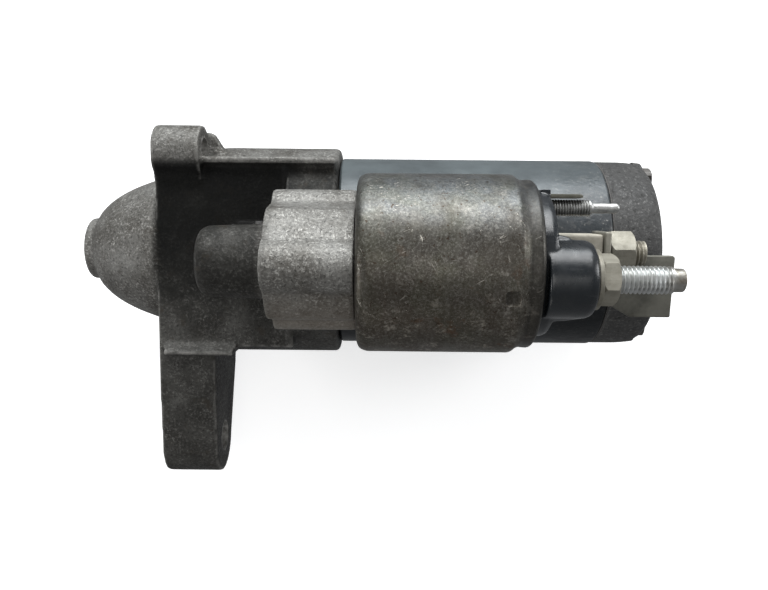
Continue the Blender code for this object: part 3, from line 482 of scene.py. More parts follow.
def drawn_can():
    """Zinc-plated steel gone dull: scratches round and along it, rust specks, brown stains."""
    n = Nodes("can_worn_zinc")
    clouds = n.noise(26.0, 5.0, 0.6)
    base = n.mix(n.ramp(clouds, (0.35, 0.0), (0.65, 1.0)), (0.034, 0.031, 0.026), (0.074, 0.070, 0.062))
    low_side = n.along("Y", 12.0, -20.0)
    base = n.mix(n.times(low_side, 0.70), base, (0.072, 0.055, 0.038))
    # Painted reflection: the upper side (+Y) of the can is made paler and bluish
    base = n.mix(n.times(n.along("Y", 8.0, 24.0), 0.75), base, (0.125, 0.140, 0.150))
    olive = n.ramp(n.noise(13.0, 4.0, 0.6, None, 0.4), (0.45, 0.0), (0.62, 0.45))
    base = n.mix(olive, base, (0.066, 0.068, 0.044))
    mottle = n.noise(0.70, 5.0, 0.85)
    base = n.mix(n.ramp(mottle, (0.50, 0.0), (0.64, 0.72)), base, (0.215, 0.208, 0.190))
    base = n.mix(n.ramp(mottle, (0.32, 0.75), (0.48, 0.0)), base, (0.021, 0.019, 0.016))
    stain = n.ramp(n.noise(11.0, 6.0, 0.7), (0.42, 0.0), (0.66, 0.6))
    base = n.mix(stain, base, (0.040, 0.033, 0.024))
    streaks = n.ramp(n.noise(4.0, 5.0, 0.7, n.stretched(1.6, 0.22, 0.22)), (0.50, 0.0), (0.72, 0.50))
    base = n.mix(n.times(streaks, 0.6), base, (0.165, 0.158, 0.142))
    rub = n.ramp(n.noise(7.0, 6.0, 0.8), (0.56, 0.0), (0.68, 0.75))
    to_rear = n.along("X", CAN_HIGH.x - 32.0, CAN_HIGH.x - 7.0)
    base = n.mix(n.times(rub, to_rear), base, (0.30, 0.285, 0.255))
    one_way = n.noise(1.9, 3.0, 0.6, n.turned_stretch(28.0, 0.22, 3.0), 0.7)
    other_way = n.noise(1.7, 3.0, 0.6, n.turned_stretch(-63.0, 0.20, 3.0), 0.9)
    scratch_a = n.ramp(one_way, (0.66, 0.0), (0.70, 1.0))
    scratch_b = n.ramp(other_way, (0.66, 0.0), (0.70, 1.0))
    worn_zone = n.ramp(n.noise(9.0, 4.0, 0.6), (0.48, 0.0), (0.58, 0.9))
    scratches = n.times(n.calc("MAXIMUM", scratch_a, scratch_b), worn_zone)
    base = n.mix(scratches, base, (0.40, 0.375, 0.33))
    rust = n.ramp(n.noise(6.0, 6.0, 0.7, None, 0.3), (0.60, 0.0), (0.69, 0.75))
    grazed = n.ramp(n.noise(5.0, 6.0, 0.8), (0.55, 0.0), (0.64, 0.8))
    base = n.mix(n.times(grazed, n.along("Y", 0.0, -16.0)), base, (0.30, 0.275, 0.235))
    rusty = n.times(rust, n.calc("ADD", n.times(low_side, 0.8), 0.2))
    base = n.mix(rusty, base, (0.082, 0.043, 0.022))
    specks = n.ramp(n.noise(1.1, 2.0, 0.6), (0.64, 0.0), (0.70, 0.9))
    base = n.mix(specks, base, (0.030, 0.019, 0.011))
    on_lip = n.along("X", CAN_HIGH.x - 5.4, CAN_HIGH.x - 3.8)
    base = n.mix(n.times(on_lip, 0.62), base, (0.026, 0.025, 0.023))
    base = n.mix(n.times(n.hollows(0.44, 0.496), 0.85), base, (0.014, 0.012, 0.010))
    base = n.mix(n.times(n.edges(0.52, 0.57), 0.6), base, (0.32, 0.30, 0.27))
    rough = n.ramp(n.noise(6.0, 6.0, 0.7), (0.32, 0.33), (0.66, 0.56))
    height = n.mix(0.5, n.noise(1.6, 4.0, 0.65), n.noise(9.0, 3.0, 0.5))
    return n.done(base, rough, 0.75, n.bump(n.mix(0.2, height, scratches), 0.10))


def painted_tube():
    """Old dark paint with a painted cool sheen (painted reflection) on the ear side and painted shade on the
    leg side; dusty and pitted to the rear.
    """
    n = Nodes("yoke_old_paint")
    clouds = n.noise(22.0, 5.0, 0.6)
    base = n.mix(n.ramp(clouds, (0.35, 0.0), (0.65, 1.0)), (0.013, 0.016, 0.018), (0.032, 0.038, 0.043))
    dust = n.ramp(n.noise(2.2, 6.0, 0.75), (0.50, 0.0), (0.70, 0.8))
    to_rear = n.along("X", YOKE_LOW.x + 62.0, YOKE_HIGH.x - 8.0)
    base = n.mix(n.times(dust, n.calc("ADD", n.times(to_rear, 0.7), 0.15)),
                 base, (0.110, 0.108, 0.104))
    chips = n.ramp(n.noise(1.1, 3.0, 0.6), (0.66, 0.0), (0.71, 0.8))
    base = n.mix(n.times(chips, to_rear), base, (0.220, 0.215, 0.205))
    base = n.mix(n.times(n.edges(0.52, 0.56), 0.5), base, (0.16, 0.155, 0.145))
    uneven = n.ramp(n.noise(18.0, 4.0, 0.6), (0.35, 0.55), (0.65, 0.95))
    # Painted reflection: the ear side (+Y) is made paler and bluish, standing for the lights' sheen on the
    # paint; less of it to the rear
    sheen = n.times(n.along("Y", 16.0, 30.0), uneven)
    sheen = n.times(sheen, n.calc("SUBTRACT", 0.92, n.times(to_rear, 0.42)))
    base = n.mix(sheen, base, (0.098, 0.116, 0.121))
    # Painted shade: the leg side (-Y) is darkened to near black, with less specular
    lower = n.along("Y", -4.0, -20.0)
    base = n.mix(n.times(lower, 0.75), base, (0.0050, 0.0056, 0.0060))
    n.put(n.shader.inputs["Specular IOR Level"], n.calc("SUBTRACT", 0.50, n.times(lower, 0.30)))
    rough = n.ramp(n.noise(10.0, 5.0, 0.7), (0.3, 0.30), (0.7, 0.48))
    height = n.mix(to_rear, n.noise(6.0, 3.0, 0.5), n.noise(1.5, 3.0, 0.6))
    return n.done(base, rough, 0.20, n.bump(height, 0.13))


def cover_metal():
    """The rear cover: rough dark grey, full of pale specks."""
    n = Nodes("cover_rough_grey")
    base = n.mix(n.noise(15.0, 5.0, 0.6), (0.020, 0.020, 0.020), (0.058, 0.057, 0.055))
    pale = n.ramp(n.noise(1.0, 4.0, 0.7), (0.55, 0.0), (0.70, 0.75))
    base = n.mix(pale, base, (0.150, 0.148, 0.142))
    pits = n.ramp(n.noise(1.4, 2.0, 0.6), (0.28, 0.9), (0.42, 0.0))
    base = n.mix(pits, base, (0.007, 0.007, 0.006))
    base = n.mix(n.times(n.edges(0.515, 0.56), 0.6), base, (0.22, 0.21, 0.20))
    rough = n.ramp(n.noise(2.0), (0.3, 0.80), (0.7, 0.50))
    return n.done(base, rough, 0.30, n.bump(n.noise(1.3, 3.0, 0.65), 0.28))


def glossy_black():
    """Moulded phenolic: shiny where rubbed, dust in its corners, dust all over the lower seat."""
    n = Nodes("cap_black_plastic")
    base = n.mix(n.noise(8.0, 4.0, 0.6), (0.0040, 0.0050, 0.0062), (0.010, 0.013, 0.016))
    dust = n.times(n.ramp(n.noise(5.0, 6.0, 0.75), (0.50, 0.0), (0.75, 0.5)), 0.25)
    base = n.mix(dust, base, (0.070, 0.066, 0.058))
    base = n.mix(n.times(n.hollows(0.43, 0.49), 0.4), base, (0.085, 0.076, 0.060))
    behind_disc = n.along("X", CAN_HIGH.x + 2.6, CAN_HIGH.x + 4.4)
    on_seat = n.times(n.along("Z", SOL_Z - 4.0, SOL_Z - 5.6), behind_disc)
    uneven = n.ramp(n.noise(3.0, 5.0, 0.7), (0.35, 0.0), (0.65, 1.0))
    grime = n.mix(uneven, (0.300, 0.280, 0.230), (0.430, 0.405, 0.340))
    base = n.mix(n.times(on_seat, 0.92), base, grime)
    lines = n.ramp(n.noise(3.0, 2.0, 0.5, n.stretched(0.4, 3.0, 1.6)), (0.65, 0.0), (0.68, 0.22))
    base = n.mix(lines, base, (0.045, 0.047, 0.049))
    shine = n.ramp(n.noise(6.0, 5.0, 0.7), (0.35, 0.20), (0.7, 0.40))
    rough = n.mix(on_seat, shine, (0.72, 0.72, 0.72))
    return n.done(base, rough, 0.0, n.bump(n.noise(3.0, 4.0, 0.6), 0.05))


def plated(name, light, dark, dirt, rough, size=3.0, metallic=0.95, bump=0.05, dusty_z=None):
    """Plated metal with stains, dirt in its corners and bright crests; pale dust above dusty_z.

    Rough is its smoothest and its roughest value.
    """
    n = Nodes(name)
    base = n.mix(n.ramp(n.noise(size, 5.0, 0.65), (0.34, 0.0), (0.66, 1.0)), light, dark)
    spots = n.ramp(n.noise(size * 0.4, 3.0, 0.6), (0.62, 0.0), (0.74, 0.7))
    base = n.mix(spots, base, dirt)
    base = n.mix(n.times(n.hollows(0.38, 0.49), 0.60), base, dirt)
    if dusty_z:
        uneven = n.ramp(n.noise(2.5, 4.0, 0.65), (0.35, 0.0), (0.65, 1.0))
        pale = n.mix(uneven, (0.260, 0.245, 0.200), DUST)
        base = n.mix(n.times(n.along("Z", dusty_z, dusty_z + 2.5), 0.9), base, pale)
    base = n.mix(n.times(n.edges(0.52, 0.60), 0.5), base, tuple(c * 1.5 for c in light))
    dull = n.ramp(n.noise(size * 1.3, 4.0, 0.6), (0.3, rough[0]), (0.7, rough[1]))
    return n.done(base, dull, metallic, n.bump(n.noise(size * 0.5, 3.0, 0.6), bump))


def bright_thread():
    """Zinc on the battery stud: pale crests, painted shade in the thread roots, a rusty dog point."""
    n = Nodes("stud_bright_zinc")
    tip = span("battery_stud")[1].x
    uneven = n.ramp(n.noise(3.5, 4.0, 0.6), (0.35, 0.0), (0.65, 1.0))
    base = n.mix(uneven, (0.62, 0.635, 0.63), (0.46, 0.465, 0.45))
    # Painted shade: the thread roots are darkened to near black
    base = n.mix(n.times(n.hollows(0.36, 0.49), 0.9), base, (0.050, 0.048, 0.044))
    dirt = n.ramp(n.noise(2.5, 4.0, 0.6), (0.3, 0.45), (0.6, 0.9))
    base = n.mix(n.times(n.along("X", tip - 6.5, tip - 2.5), dirt), base, (0.150, 0.125, 0.090))
    rough = n.ramp(n.noise(4.0, 3.0, 0.6), (0.3, 0.34), (0.7, 0.46))
    return n.done(base, rough, 0.85, n.bump(n.noise(2.5, 3.0, 0.6), 0.03))


def turned_steel(name, light, dark, ring_mm=0.7):
    """Machined steel with faint tool rings along X and a film of oil."""
    n = Nodes(name)
    rings = n.noise(ring_mm, 2.0, 0.5, n.stretched(1.0, 0.02, 0.02))
    base = n.mix(n.noise(6.0, 4.0, 0.6), dark, light)
    base = n.mix(n.times(rings, 0.35), base, dark, "MULTIPLY")
    base = n.mix(n.times(n.hollows(), 0.7), base, (0.03, 0.022, 0.014))
    rough = n.ramp(n.noise(4.0), (0.3, 0.24), (0.7, 0.42))
    return n.done(base, rough, 1.0, n.bump(rings, 0.03))


def grained(name, light, dark, rough, metallic=0.0, grain_mm=0.8, bump=0.1):
    """Pressed, moulded or sintered stuff with a fine grain and dusty patches."""
    n = Nodes(name)
    base = n.mix(n.noise(7.0, 5.0, 0.6), light, dark)
    flecks = n.ramp(n.noise(grain_mm, 3.0, 0.6), (0.60, 0.0), (0.76, 0.5))
    base = n.mix(flecks, base, tuple(min(1.0, c * 2.2 + 0.03) for c in light))
    dusty = n.ramp(n.noise(grain_mm * 5), (0.3, rough - 0.10), (0.7, min(1.0, rough + 0.12)))
    return n.done(base, dusty, metallic, n.bump(n.noise(grain_mm, 3.0, 0.6), bump))


def wound_copper(name, light, dark):
    """Enamelled wire lying side by side along X."""
    n = Nodes(name)
    wires = n.add("ShaderNodeTexWave", Vector=n.stretched(0.25, 1.0, 1.0), Scale=520.0, Distortion=1.5)
    base = n.mix(wires.outputs["Fac"], dark, light)
    base = n.mix(n.ramp(n.noise(5.0), (0.45, 0.0), (0.75, 0.6)), base, (0.05, 0.025, 0.012))
    rough = n.ramp(n.noise(3.0), (0.3, 0.28), (0.7, 0.45))
    return n.done(base, rough, 0.7, n.bump(wires.outputs["Fac"], 0.25))


# Every look is made once; a plated one ends with its grain size, metal, bump depth and dust height
LOOKS = {
    "cast": cast_metal(),
    "can": drawn_can(),
    "yoke": painted_tube(),
    "cover": cover_metal(),
    "plastic": glossy_black(),
    "stud": bright_thread(),
    "nut": plated("nut_dusty_zinc", (0.215, 0.205, 0.172), (0.140, 0.130, 0.102), (0.095, 0.070, 0.040),
                  (0.46, 0.68), 2.5, 0.45, 0.08),
    "dusty_stud": plated("stud_dusty_zinc", (0.33, 0.31, 0.26), (0.20, 0.185, 0.150), (0.080, 0.066, 0.045),
                         (0.38, 0.62), 2.2, 0.7, 0.08),
    "strap": plated("strap_tinned_copper", (0.120, 0.117, 0.099), (0.056, 0.055, 0.046),
                    (0.034, 0.030, 0.023), (0.42, 0.68), 6.0, 0.55, 0.10, 46.8),
    "blade": plated("blade_olive_zinc", (0.105, 0.102, 0.082), (0.055, 0.053, 0.042), (0.030, 0.027, 0.020),
                    (0.42, 0.68), 2.0, 0.55, 0.05),
    "screw": plated("screw_dark_steel", (0.12, 0.115, 0.11), (0.065, 0.06, 0.055), (0.030, 0.019, 0.012),
                    (0.36, 0.60)),
    "small_stud": plated("trigger_grey_zinc", (0.46, 0.46, 0.45), (0.26, 0.26, 0.25), (0.090, 0.080, 0.065),
                         (0.36, 0.55), 1.6),
    "gear": turned_steel("gear_steel_oiled", (0.42, 0.41, 0.39), (0.24, 0.235, 0.225)),
    "shaft": turned_steel("shaft_steel_ground", (0.52, 0.51, 0.50), (0.34, 0.33, 0.32), 0.4),
    "pressed": turned_steel("pressed_steel_dull", (0.22, 0.215, 0.205), (0.13, 0.125, 0.12), 1.2),
    "bronze": grained("bronze_sintered", (0.42, 0.27, 0.12), (0.28, 0.17, 0.075), 0.42, 1.0, 0.5),
    "ferrite": grained("ferrite_grey", (0.060, 0.060, 0.064), (0.035, 0.035, 0.038), 0.62, 0.1, 0.9),
    "carbon": grained("brush_copper_graphite", (0.125, 0.085, 0.062), (0.080, 0.058, 0.045), 0.58, 0.4, 0.6),
    "nylon": grained("nylon_glass_filled", (0.190, 0.165, 0.120), (0.130, 0.112, 0.082), 0.52, 0.0, 1.2),
    "rubber": grained("rubber_dusty", (0.060, 0.060, 0.052), (0.030, 0.030, 0.026), 0.80, 0.0, 1.4, 0.15),
    "copper": turned_steel("copper_bars", (0.66, 0.33, 0.18), (0.42, 0.19, 0.10), 0.5),
    "winding": wound_copper("winding_enamelled", (0.50, 0.19, 0.07), (0.20, 0.07, 0.03)),
    "coil": wound_copper("solenoid_coil_wound", (0.46, 0.17, 0.06), (0.18, 0.06, 0.025)),
}

# The look of each CAD node that stays as it is, by its material slot
INSIDE_LOOKS = {
    "cast_dark": "cast", "bronze": "bronze", "yoke_paint": "yoke", "cover_cast": "cover",
    "steel_dark": "pressed", "steel_bright": "shaft", "ferrite": "ferrite", "copper": "copper",
    "carbon": "carbon", "nylon": "nylon", "gear_steel": "gear", "can_steel": "can",
    "black_plastic": "plastic", "rubber": "rubber", "zinc_bright": "stud", "zinc_yellow": "nut",
    "enamel": "coil",
}


def dress_cad_nodes():
    for name, node in frame["nodes"].items():
        look = "winding" if name == "armature_winding" else INSIDE_LOOKS[SLOT_OF[name]]
        node.data.materials.clear()
        node.data.materials.append(LOOKS[look])


# ---------------------------------------------------------------- the cast housing

def lobe_centre(degrees):
    a = math.radians(degrees)
    return SCREW_RING_R * math.cos(a), SOL_Z + SCREW_RING_R * math.sin(a)


def nose_solid():
    profile = [
        (HOUSING_STEP_X, 0), (HOUSING_STEP_X, 30), (2, 28.0), (-4, 27.0), (-9, 25.3), (-14, 23.4),
        (-19, 20.9), (-23, 18.2), (-26, 15.4), (-27.4, 13.4), (-28.0, HUB_R),
        (HOUSE_LOW.x + 0.8, HUB_R), (HOUSE_LOW.x, HUB_R - 0.8), (HOUSE_LOW.x, 0)]
    return turned(fillet(profile, 3.0))


def bored_out():
    """The room turned out from the rear: gearbox, clutch chamber, nose, bush seat."""
    return turned([
        (HOUSING_X1 + 5, 0), (HOUSING_X1 + 5, 31.6), (53.6, 31.6), (53.6, 22.5), (4, 22.5), (-2, 20.5),
        (-12, 18.6), (-18, 16.0), (-21, 12.0), (-21, 8.0), (-29.6, 8.0), (-29.6, 0)])


def leg_solid():
    """The long mounting ear, down on the leg side."""
    lug = arc(LEG_Y, LEG_Z, LEG_R, 105, 262, 24)
    outline = [(-24, 26), (-52, 26.0)] + lug + [(-46, -11), (-24, -14)]
    return prism(outline, 0, LEG_X1)


def ear_solid():
    """The short mounting ear on the other side."""
    return prism([(18, 4)] + arc(EAR_Y, EAR_Z, EAR_R, -38, 140, 28) + [(20, 25)], 0, EAR_X1)


def bracket_solid():
    """The upright plate with three lobes that the solenoid is screwed to."""
    points = [(21, 20), (21, 50)]
    points += arc(*lobe_centre(330), LOBE_R, -10, 62, 12)
    points += arc(0, SOL_Z, 18.4, 30, 56, 5)
    points += arc(*lobe_centre(90), LOBE_R, 8, 172, 24)
    points += arc(0, SOL_Z, 18.4, 124, 150, 5)
    points += arc(*lobe_centre(210), LOBE_R, 118, 190, 12)
    return prism(points + [(-21.5, 50), (-21.5, 20)], BRACKET_X0, CAN_LOW.x - 0.3)


def finger_dome():
    """The blind round end that the plunger slides into."""
    front = [(DOME_X0, 0), (DOME_X0, 7.8), (DOME_X0 + 0.8, 9.5), (DOME_X0 + 2.6, 10.5)]
    return turned(front + [(DOME_X0 + 6.0, DOME_R), (50, DOME_R + 0.6), (50, 0)], 0, SOL_Z, ROUND)


def casting():
    """The rough casting before machining."""
    barrel = turned([
        (HOUSING_STEP_X, 0), (HOUSING_STEP_X, HOUSING_R - 1), (HOUSING_STEP_X + 1, HOUSING_R),
        (HOUSING_X1 - 1, HOUSING_R), (HOUSING_X1, HOUSING_R - 1), (HOUSING_X1, 0)], segments=FINE)
    flange = prism(arc(0, 0, FLANGE_BODY_R, 0, 357, 119), 0, HOUSING_STEP_X + 2)
    deck = box(0.0, RECESS_X1 + 2, -33.5, 33.0, 8.0, RECESS_Z + 1.0)
    rim_top = box(1.5, HOUSING_X1 - 0.5, RECESS_Y1 + 0.2, 33.5, 10, RECESS_Z + 2.9)
    shelf = box(RECESS_X1 - 1, HOUSING_X1 - 0.8, 20, 32, 10, RECESS_Z + 0.6)
    ledge = prism([(-36.0, 10), (-36.0, RECESS_Z + 3.4), (-34.8, RECESS_Z + 4.2), (-31.2, RECESS_Z - 0.5),
                   (-31.2, 10)], 2.5, 27)
    gusset = loft([[(EAR_X1 - 1, 20, z), (24, 20, z), (24, 33, z), (EAR_X1 + 1.5, 42.5, z),
                    (EAR_X1 - 1, 43, z)] for z in (10.0, 15.5)])
    column = box(COLUMN_X0, 52, -COLUMN_Y, COLUMN_Y, 18, SOL_Z)
    z0, z1 = RECESS_Z, RECESS_Z + 24
    recess = [box(-1, COLUMN_X0 - 0.1, RECESS_Y0, RECESS_Y1, z0, z1),
              box(COLUMN_X0 - 0.5, RECESS_X1, COLUMN_Y + 0.1, RECESS_Y1, z0, z1),
              box(COLUMN_X0 - 0.5, RECESS_X1, RECESS_Y0, -COLUMN_Y - 0.1, z0, z1)]
    shell = combined(nose_solid(), [flange, barrel, deck], recess)
    return combined(shell, [rim_top, shelf, ledge, leg_solid(), ear_solid(), gusset, column, finger_dome(),
                            bracket_solid()])


def machined_away():
    """Everything that is cut from the casting, inside and out."""
    cuts = [bored_out()]
    hollow = [(27.6, 0), (27.6, 5.0), (29.6, 7.7), (48, 7.7), (48, 12.0), (CAN_LOW.x + 1, 12.0),
              (CAN_LOW.x + 1, 0)]
    cuts.append(turned(hollow, 0, SOL_Z))
    cuts.append(box(29.5, 50, -7.2, 7.2, 12, SOL_Z))
    cuts.append(box(49.5, HOUSING_X1 + 1, -9.0, 9.0, 30, 40))
    cuts.append(cylinder(HOUSING_X1, CAN_LOW.x + 2, YOKE_R + 0.5, segments=FINE))
    pin_x, pin_z = [(a + b) / 2 for a, b in zip(*((v.x, v.z) for v in span("fork_pin")))]
    cuts.append(pin_along_y(pin_x, pin_z, PIN_HOLE_R, -12, 12))
    cuts.append(box(-19.5, -2.0, -19, 19, -45, -8))
    cuts.append(cylinder(-2, EAR_X1 + 2, MOUNT_HOLE_R, EAR_Y, EAR_Z))
    cuts.append(cylinder(-2, LEG_X1 + 2, MOUNT_HOLE_R, LEG_Y, LEG_Z))
    for side in (1, -1):
        cuts.append(cylinder(42, 54.6, SCREW_HOLE_R, side * BOLT_Y, 0))
    for degrees in SCREW_ANGLES:
        y, z = lobe_centre(degrees)
        cuts.append(cylinder(BRACKET_X0 + 4, CAN_LOW.x + 1, SCREW_HOLE_R, y, z))
        cuts.append(cylinder(BRACKET_X0 - 2, BRACKET_X0 + 6, 5.0, y, z))
    return cuts


def housing():
    voxel, passes = ((0.70, 6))
    soft = melted(casting(), voxel, passes)
    piece("housing_casting", combined(soft, cuts=machined_away()), "cast", replaces="drive_end_housing")


# ---------------------------------------------------------------- motor outside

def yoke_tube():
    rim = 0.7
    inner = span("armature_core")[1].y + 8.0
    outline = fillet([
        (YOKE_LOW.x, inner), (YOKE_LOW.x, YOKE_R - rim), (YOKE_LOW.x + rim, YOKE_R),
        (YOKE_HIGH.x - rim, YOKE_R), (YOKE_HIGH.x, YOKE_R - rim), (YOKE_HIGH.x, inner)], 0.3)
    piece("yoke_tube", turned(finer(outline, 3.0), segments=FINE), "yoke", replaces="yoke")


def rear_end():
    x0, x1 = COVER_LOW.x, COVER_HIGH.x
    inner = COVER_R - 3.6
    cup = turned([
        (x1 - 2.3, 0), (x1 - 2.3, 7.2), (x1 - 10.5, 7.2), (x1 - 10.5, 10.5), (x1 - 3.7, 12.0),
        (x1 - 3.7, inner), (x0, inner)] + fillet([
            (x0, COVER_R - 0.6), (x0 + 0.6, COVER_R), (x1 - 9.0, COVER_R), (x1 - 4.4, COVER_R - 0.3),
            (x1 - 1.3, COVER_R - 1.7), (x1 - 0.3, COVER_R - 4.6), (x1, COVER_R - 8.5)], 2.5, 3)
        + fillet([(x1, 14.0), (x1 - 0.6, 12.8), (x1 - 0.6, 11.4), (x1, 10.2)], 0.5, 2) + [(x1, 0)],
        segments=FINE)
    cuts = [cylinder(x1 - 7, x1 + 1, SCREW_HOLE_R, side * BOLT_Y, 0) for side in (1, -1)]
    low, high = span("lead_grommet")
    cuts.append(box(low.x - 0.3, high.x + 0.3, low.y - 0.3, high.y + 0.3, 25, 40))
    seats = [soft_turned([(x1 - 3.0, 0), (x1 - 3.0, 6.4), (x1 + 0.12, 6.0), (x1 + 0.12, 0)], 0.4,
                         side * BOLT_Y, 0, SMALL) for side in (1, -1)]
    piece("rear_end_cover", combined(cup, seats, cuts), "cover", replaces="rear_cover")


def hexagon_head(x0, x1, across_corners, y, z, twist=0.0):
    """A hexagon prism whose rear corners are turned down."""
    r = across_corners / 2
    turn = soft_turned([(x0 - 0.01, 0), (x0 - 0.01, r * 1.01), (x1 - r * 0.16, r * 1.01), (x1, r * 0.88),
                        (x1, 0)], 0.25, y, z, ROUND)
    return combined(prism(hexagon(y, z, r, twist), x0, x1), keeps=[turn])


def through_bolts():
    for number, side in ((1, 1), (2, -1)):
        node = f"through_bolt_{number}"
        low, high = span(node)
        y = side * BOLT_Y
        head_x0 = high.x - 3.3
        bolt = hexagon_head(head_x0, high.x, 8.6, y, 0, 12.0 * number)
        washer = soft_turned([(COVER_HIGH.x + 0.3, 0), (COVER_HIGH.x + 0.3, 4.6), (COVER_HIGH.x + 1.1, 4.6),
                              (COVER_HIGH.x + 1.1, 0)], 0.25, y, 0, ROUND)
        shank = cylinder(low.x, high.x - 1, 2.3, y, 0)
        dimple = turned([(high.x - 0.5, 0), (high.x + 0.1, 1.9), (high.x + 1, 1.9), (high.x + 1, 0)], y, 0)
        whole = combined(bolt, [washer, shank], [dimple])
        piece(f"through_bolt_hex_{number}", whole, "screw", replaces=node)


# ---------------------------------------------------------------- solenoid outside

def can_shell():
    """The drawn can, its neck crimped in at the rear, with a flat mark near the crimp."""
    x0, x1 = CAN_LOW.x, CAN_HIGH.x
    shoulder = x1 - 6.4
    outside = fillet([
        (x0, 14.0), (x0, CAN_R - 2.7), (x0 + 0.8, CAN_R - 0.9), (x0 + 2.8, CAN_R - 0.05),
        (shoulder - 3, CAN_R), (shoulder - 0.2, CAN_R), (shoulder + 1.3, CAN_R - 1.25),
        (shoulder + 2.6, CAN_R - 1.75),
        (x1 - 2.6, CAN_R - 1.55), (x1 - 1.1, CAN_R - 1.5), (x1 - 0.25, CAN_R - 2.3), (x1, CAN_R - 3.3),
        (x1 - 0.15, CAN_R - 4.5)], 1.2, 4)
    inside = [(x1 - 1.4, CAN_R - 4.5), (x1 - 1.4, CAN_R - 2.2), (x0 + 2.8, CAN_R - 2.2),
              (x0 + 2.8, 10.2), (x0, 10.2)]
    shell = turned(finer(outside, 1.8) + inside, 0, SOL_Z, FINE)
    cuts = [cylinder(x0 - 1, x0 + 4, SCREW_HOLE_R, *lobe_centre(a)) for a in SCREW_ANGLES]
    flat = rounded(box(x1 - 11.4, x1 - 6.4, -2.7, 2.7, CAN_R - 0.45, CAN_R + 4), 1.3, 5)
    round_can = Matrix.Translation((0, 0, SOL_Z)) @ Matrix.Rotation(math.radians(FLAT_ANGLE), 4, "X")
    flat = moved(flat, round_can)
    piece("solenoid_can_shell", combined(shell, cuts=cuts + [flat]), "can", replaces="solenoid_can")


def rear_cap():
    """The moulded cap: a disc with the battery tower, the motor stud's seat and the trigger block."""
    x1 = CAP_HIGH.x
    face = CAN_HIGH.x + 3.6
    (by, bz), (my, mz), (ty, tz) = BATTERY, MOTOR, TRIGGER
    disc = turned([(face - 3.6, 0), (face - 3.6, 21.4), (face - 0.8, 21.4), (face, 20.6), (face, 0)],
                  0, SOL_Z)
    tower = turned([(face - 2.6, 0), (face - 2.6, 11.2), (face + 9.0, 11.0), (face + 10.6, 10.4),
                    (face + 11.2, 9.4), (face + 11.2, 0)], by, bz)
    skirt = loft([[(x, by + y, bz + z) for y, z in (
        (-12.0 + low, -17.0), (13.2 - high, -17.0), (13.2 - high, 1.5), (0.0, 8.0),
        (-6.8 + 0.6 * low, 8.8 - 0.6 * low), (-12.0 + low, 0.5))]
        for x, low, high in ((face - 2.0, 0.0, 0.0), (face + 4.0, 0.2, 1.2), (face + 9.0, 0.9, 4.4),
                             (face + 10.6, 2.6, 6.4))])
    seat = box(face - 2.6, x1, my - 6.5, my + 6.0, mz - 6.5, mz + 6.5)
    block = box(face - 2.0, face + 0.8, ty - 4.4, ty + 5.2, tz - 5.5, tz + 5.5)
    collar = turned([(face - 1, 0), (face - 1, 3.9), (face + 1.6, 3.9), (face + 1.6, 0)], ty, tz, SMALL)
    rim = turned([(face - 1.0, 19.2), (face - 1.0, 21.2), (face + 0.6, 20.8), (face + 0.6, 19.6)], 0, SOL_Z)
    voxel = 0.42
    soft = melted(combined(disc, [tower, skirt, seat, block, collar, rim]), voxel, 5)
    wall = turned([(face - 4.0, 19.5), (CAP_LOW.x, 19.5), (CAP_LOW.x, 23.9), (face - 5.4, 23.9),
                   (face - 5.4, 21.3), (face - 3.6, 21.3), (face - 3.6, 19.5)], 0, SOL_Z)
    cuts = [cylinder(face - 11, x1 + 3, STUD_R + 0.25, by, bz),
            cylinder(face - 11, x1 + 3, STUD_R + 0.25, my, mz),
            cylinder(face - 2.4, x1 + 3, SMALL_STUD_R + 0.25, ty, tz),
            box(face - 2.4, x1 + 3, TAB[0] - 1.1, TAB[0] + 1.1, tz - 3.4, tz + 3.4)]
    piece("solenoid_rear_cap", combined(soft, [wall], cuts), "plastic", replaces="solenoid_cap", angle=40)


def threaded(x0, x1, r, pitch, y, z, sides=48):
    """A closed rod with a helical V thread that fades out over one turn at each end."""
    depth = pitch * 0.60
    steps = max(2, round((x1 - x0) / pitch * 9))
    rows = []
    for k in range(steps + 1):
        x = x0 + (x1 - x0) * k / steps
        fade = max(0.0, min(1.0, (x - x0) / pitch, (x1 - x) / pitch))
        row = []
        for i in range(sides):
            a = math.tau * i / sides
            tooth = abs(((x / pitch - i / sides) % 1.0) * 2 - 1)
            root = min(1.0, max(0.0, (tooth - 0.10) / 0.78))
            rr = r - depth * (1 - root) * fade - (1 - fade) * depth * 0.15
            row.append((x, y + rr * math.cos(a), z + rr * math.sin(a)))
        rows.append(row)
    return loft(rows)


def main_stud(name, node, y, z, dog, thread_x0):
    """The contact head inside the cap, then a rolled thread, then a dog point if dog isn't zero."""
    low, high = span(node)
    thread_x1 = high.x - dog
    head = turned([(low.x, 0), (low.x, 5.5), (low.x + 2.9, 5.5), (low.x + 2.9, 3.5), (thread_x0 + 0.5, 3.5),
                   (thread_x0 + 0.5, 0)], y, z, SMALL)
    parts = [threaded(thread_x0, thread_x1, STUD_R, M8_PITCH, y, z)]
    if dog:
        parts.append(soft_turned([(thread_x1 - 0.8, 0), (thread_x1 - 0.8, 3.4), (high.x - 0.3, 3.35),
                                  (high.x, 2.8), (high.x, 0)], 0.35, y, z, SMALL))
    look = "stud" if dog else "dusty_stud"
    piece(name, combined(head, parts), look, replaces=node, angle=40)


def ring_of_metal(x0, x1, r_in, r_out, y, z, edge=0.25):
    return turned(fillet([(x0, r_in), (x0, r_out), (x1, r_out), (x1, r_in)], edge, 3), y, z, ROUND)


